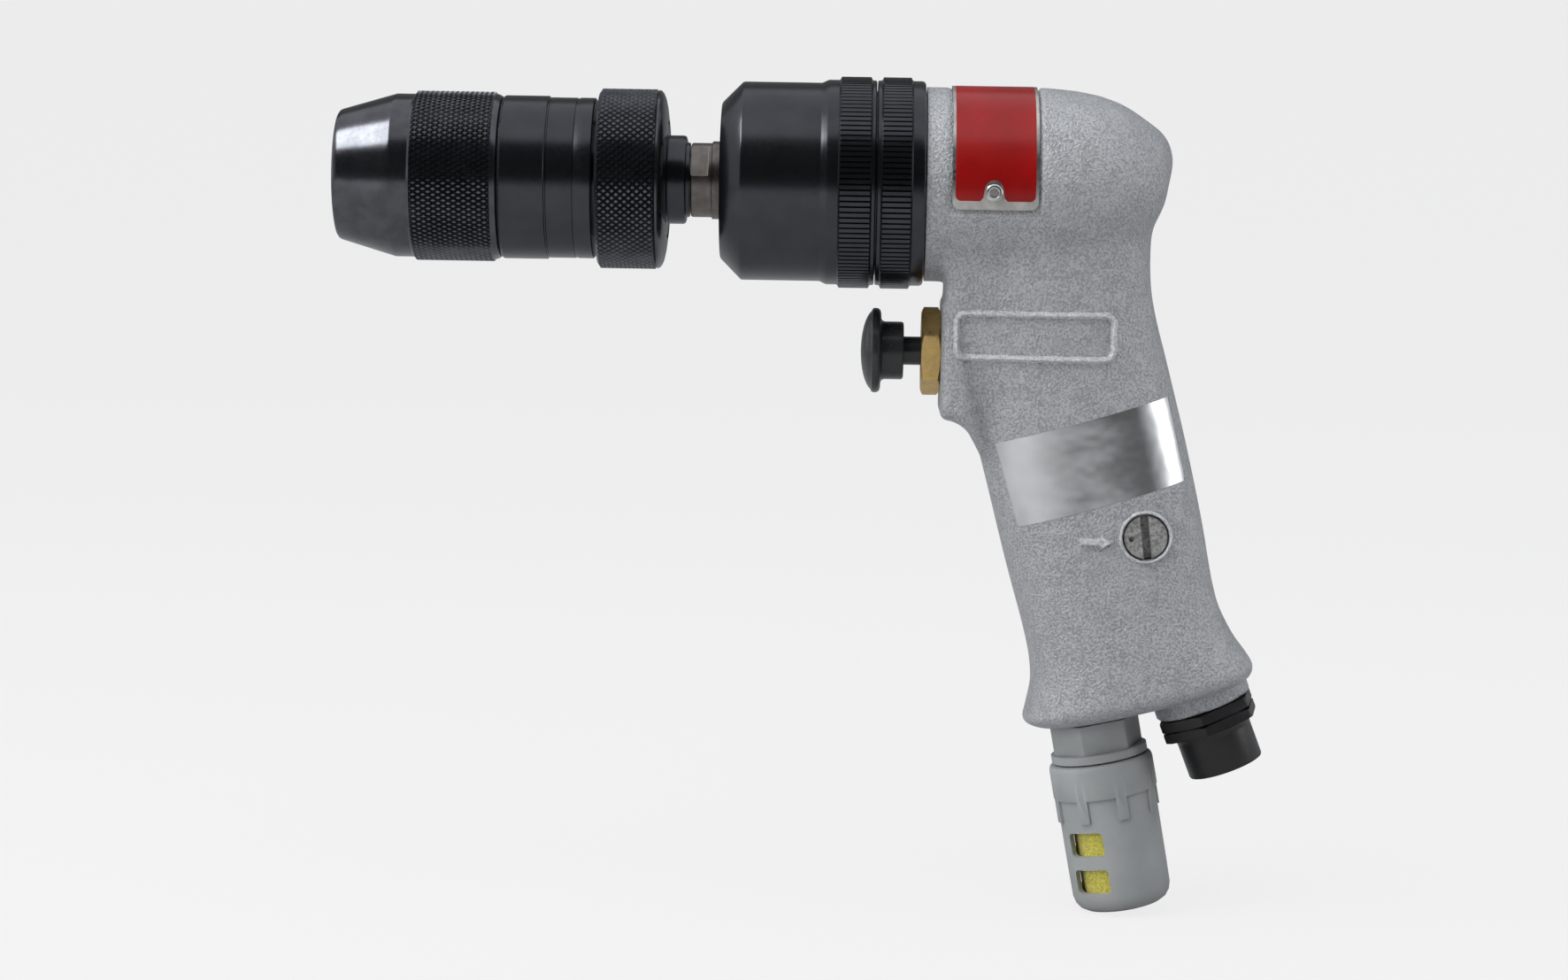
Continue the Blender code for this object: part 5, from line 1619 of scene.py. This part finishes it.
def paper_sweep():
    """The pale floor, with its far edge swept up out of sight."""
    floor_z = CAD_BOUNDS[0].z - 0.4 * MM
    deselect()
    bpy.ops.mesh.primitive_plane_add(size=1.0)
    floor = renamed("studio_floor")
    floor.scale = (4.0, 3.0, 1.0)
    floor.location = (0.0, 0.0, floor_z)
    bpy.ops.object.transform_apply(location=True, rotation=True, scale=True)
    edit(floor)
    pick(floor, "edges", lambda e: all(v.co.y > 1.4 for v in e.verts))
    for step in range(1, 9):
        angle = radians(step * 90 / 8 - 45 / 8)
        lift = (0.0, 0.16 * cos(angle), 0.16 * sin(angle))
        bpy.ops.mesh.extrude_region_move(TRANSFORM_OT_translate={"value": lift})
    bpy.ops.mesh.extrude_region_move(TRANSFORM_OT_translate={"value": (0.0, 0.0, 1.6)})
    done()
    only(floor)
    bpy.ops.object.shade_smooth()
    paper = bpy.data.materials.new("studio_paper")
    paper.use_nodes = True
    tree = paper.node_tree
    link = tree.links.new
    shader = tree.nodes["Principled BSDF"]
    shader.inputs["Base Color"].default_value = (0.45, 0.45, 0.45, 1.0)
    shader.inputs["Roughness"].default_value = 0.9
    shader.inputs["Specular IOR Level"].default_value = 0.1
    glow = tree.nodes.new("ShaderNodeEmission")
    glow.inputs["Color"].default_value = (0.95, 0.95, 0.955, 1.0)
    glow.inputs["Strength"].default_value = 1.0
    mix = tree.nodes.new("ShaderNodeMixShader")
    rays = tree.nodes.new("ShaderNodeLightPath")
    share = tree.nodes.new("ShaderNodeMath")
    share.operation = "MULTIPLY"
    share.inputs[1].default_value = 0.85
    link(rays.outputs["Is Camera Ray"], share.inputs[0])
    link(share.outputs["Value"], mix.inputs["Fac"])
    link(shader.outputs["BSDF"], mix.inputs[1])
    link(glow.outputs["Emission"], mix.inputs[2])
    link(mix.outputs["Shader"], tree.nodes["Material Output"].inputs["Surface"])
    floor.data.materials.append(paper)


def studio(sizes):
    studio_world()
    paper_sweep()
    panel("overhead_box", (-0.15, -0.45, 0.75), (-0.05, 0.0, -0.05), (1.0, 0.7), 4.4)
    panel("left_fill", (-0.75, -0.85, 0.20), (-0.03, 0.0, -0.06), (0.7, 0.5), 5.6)
    panel("side_window", (-0.60, -0.20, 0.62), (-0.14, 0.0, 0.0), (0.22, 0.46), 3.0, True)
    panel("right_window", (0.70, -0.06, 0.10), (-0.08, 0.0, 0.0), (0.40, 0.40), 0.7, True)
    camera(sizes)
    scene = bpy.context.scene
    scene.view_settings.view_transform = "Standard"


# ---------------------------------------------------------------- operators
class DRIVER_OT_housing(bpy.types.Operator):
    """Model the hammered casting of barrel, grip and bosses"""

    bl_idname = "driver.housing"
    bl_label = "Housing"

    def execute(self, context):
        housing(context.scene.driver_sizes)
        return {"FINISHED"}


class DRIVER_OT_markings(bpy.types.Operator):
    """Lay the raised frame, the arrow and the foil label on the casting"""

    bl_idname = "driver.markings"
    bl_label = "Casting details"

    def execute(self, context):
        sizes = context.scene.driver_sizes
        skin = casting_skin()
        embossed_frame(sizes, skin)
        flow_arrow(skin)
        foil_label(sizes, skin)
        return {"FINISHED"}


class DRIVER_OT_nameplate(bpy.types.Operator):
    """Bend the nameplate, its enamel field and its rivets over the barrel"""

    bl_idname = "driver.nameplate"
    bl_label = "Nameplate"

    def execute(self, context):
        nameplate()
        return {"FINISHED"}


class DRIVER_OT_chuck(bpy.types.Operator):
    """Turn and knurl the keyless chuck"""

    bl_idname = "driver.chuck"
    bl_label = "Chuck"

    def execute(self, context):
        sizes = context.scene.driver_sizes
        chuck_hood(sizes)
        chuck_sleeve(sizes)
        holding_ring(sizes)
        chuck_body()
        chuck_jaws()
        return {"FINISHED"}


class DRIVER_OT_cases(bpy.types.Operator):
    """Turn the spindle, and turn and knurl the clutch and gear cases"""

    bl_idname = "driver.cases"
    bl_label = "Spindle and cases"

    def execute(self, context):
        sizes = context.scene.driver_sizes
        output_spindle()
        clutch_case(sizes)
        gear_case(sizes)
        return {"FINISHED"}


class DRIVER_OT_throttle(bpy.types.Operator):
    """Model the push button, its stem and the brass bushing"""

    bl_idname = "driver.throttle"
    bl_label = "Throttle"

    def execute(self, context):
        throttle_pieces()
        return {"FINISHED"}


class DRIVER_OT_regulator(bpy.types.Operator):
    """Model the slotted regulator plug"""

    bl_idname = "driver.regulator"
    bl_label = "Regulator"

    def execute(self, context):
        regulator_plug()
        return {"FINISHED"}


class DRIVER_OT_silencer(bpy.types.Operator):
    """Model the silencer's adapter, slotted case and felt"""

    bl_idname = "driver.silencer"
    bl_label = "Silencer"

    def execute(self, context):
        silencer_adapter()
        silencer_case()
        silencer_element()
        return {"FINISHED"}


class DRIVER_OT_inlet(bpy.types.Operator):
    """Model the air inlet's bushing and hose adapter"""

    bl_idname = "driver.inlet"
    bl_label = "Air inlet"

    def execute(self, context):
        inlet_bushing()
        hose_adapter()
        return {"FINISHED"}


class DRIVER_OT_inner_works(bpy.types.Operator):
    """Give the gears, motor, clutch and valve their finishes"""

    bl_idname = "driver.inner_works"
    bl_label = "Inner works"

    def execute(self, context):
        dress_inner_works()
        return {"FINISHED"}


class DRIVER_OT_studio(bpy.types.Operator):
    """Set up the floor, the lamps and the camera"""

    bl_idname = "driver.studio"
    bl_label = "Studio"

    def execute(self, context):
        studio(context.scene.driver_sizes)
        return {"FINISHED"}


OPERATORS = (
    DRIVER_OT_housing,
    DRIVER_OT_markings,
    DRIVER_OT_nameplate,
    DRIVER_OT_chuck,
    DRIVER_OT_cases,
    DRIVER_OT_throttle,
    DRIVER_OT_regulator,
    DRIVER_OT_silencer,
    DRIVER_OT_inlet,
    DRIVER_OT_inner_works,
    DRIVER_OT_studio,
)


class DRIVER_PT_panel(bpy.types.Panel):
    """Lists what can be built, with its sizes and colours"""

    bl_idname = "DRIVER_PT_panel"
    bl_label = "Pistol Grip Driver"
    bl_space_type = "VIEW_3D"
    bl_region_type = "UI"
    bl_category = "Driver"

    def draw(self, context):
        for group in (context.scene.driver_sizes, context.scene.driver_colours):
            column = self.layout.column()
            for key in group.__annotations__:
                column.prop(group, key)
        for operator in OPERATORS:
            self.layout.operator(operator.bl_idname)


CLASSES = (DriverSizes, DriverColours, *OPERATORS, DRIVER_PT_panel)


def register():
    for made in CLASSES:
        bpy.utils.register_class(made)
    bpy.types.Scene.driver_sizes = bpy.props.PointerProperty(type=DriverSizes)
    bpy.types.Scene.driver_colours = bpy.props.PointerProperty(type=DriverColours)


def unregister():
    del bpy.types.Scene.driver_colours
    del bpy.types.Scene.driver_sizes
    for made in reversed(CLASSES):
        bpy.utils.unregister_class(made)


def main():
    register()
    for operator in OPERATORS:
        group, name = operator.bl_idname.split(".")
        getattr(getattr(bpy.ops, group), name)()


if __name__ == "__main__":
    main()
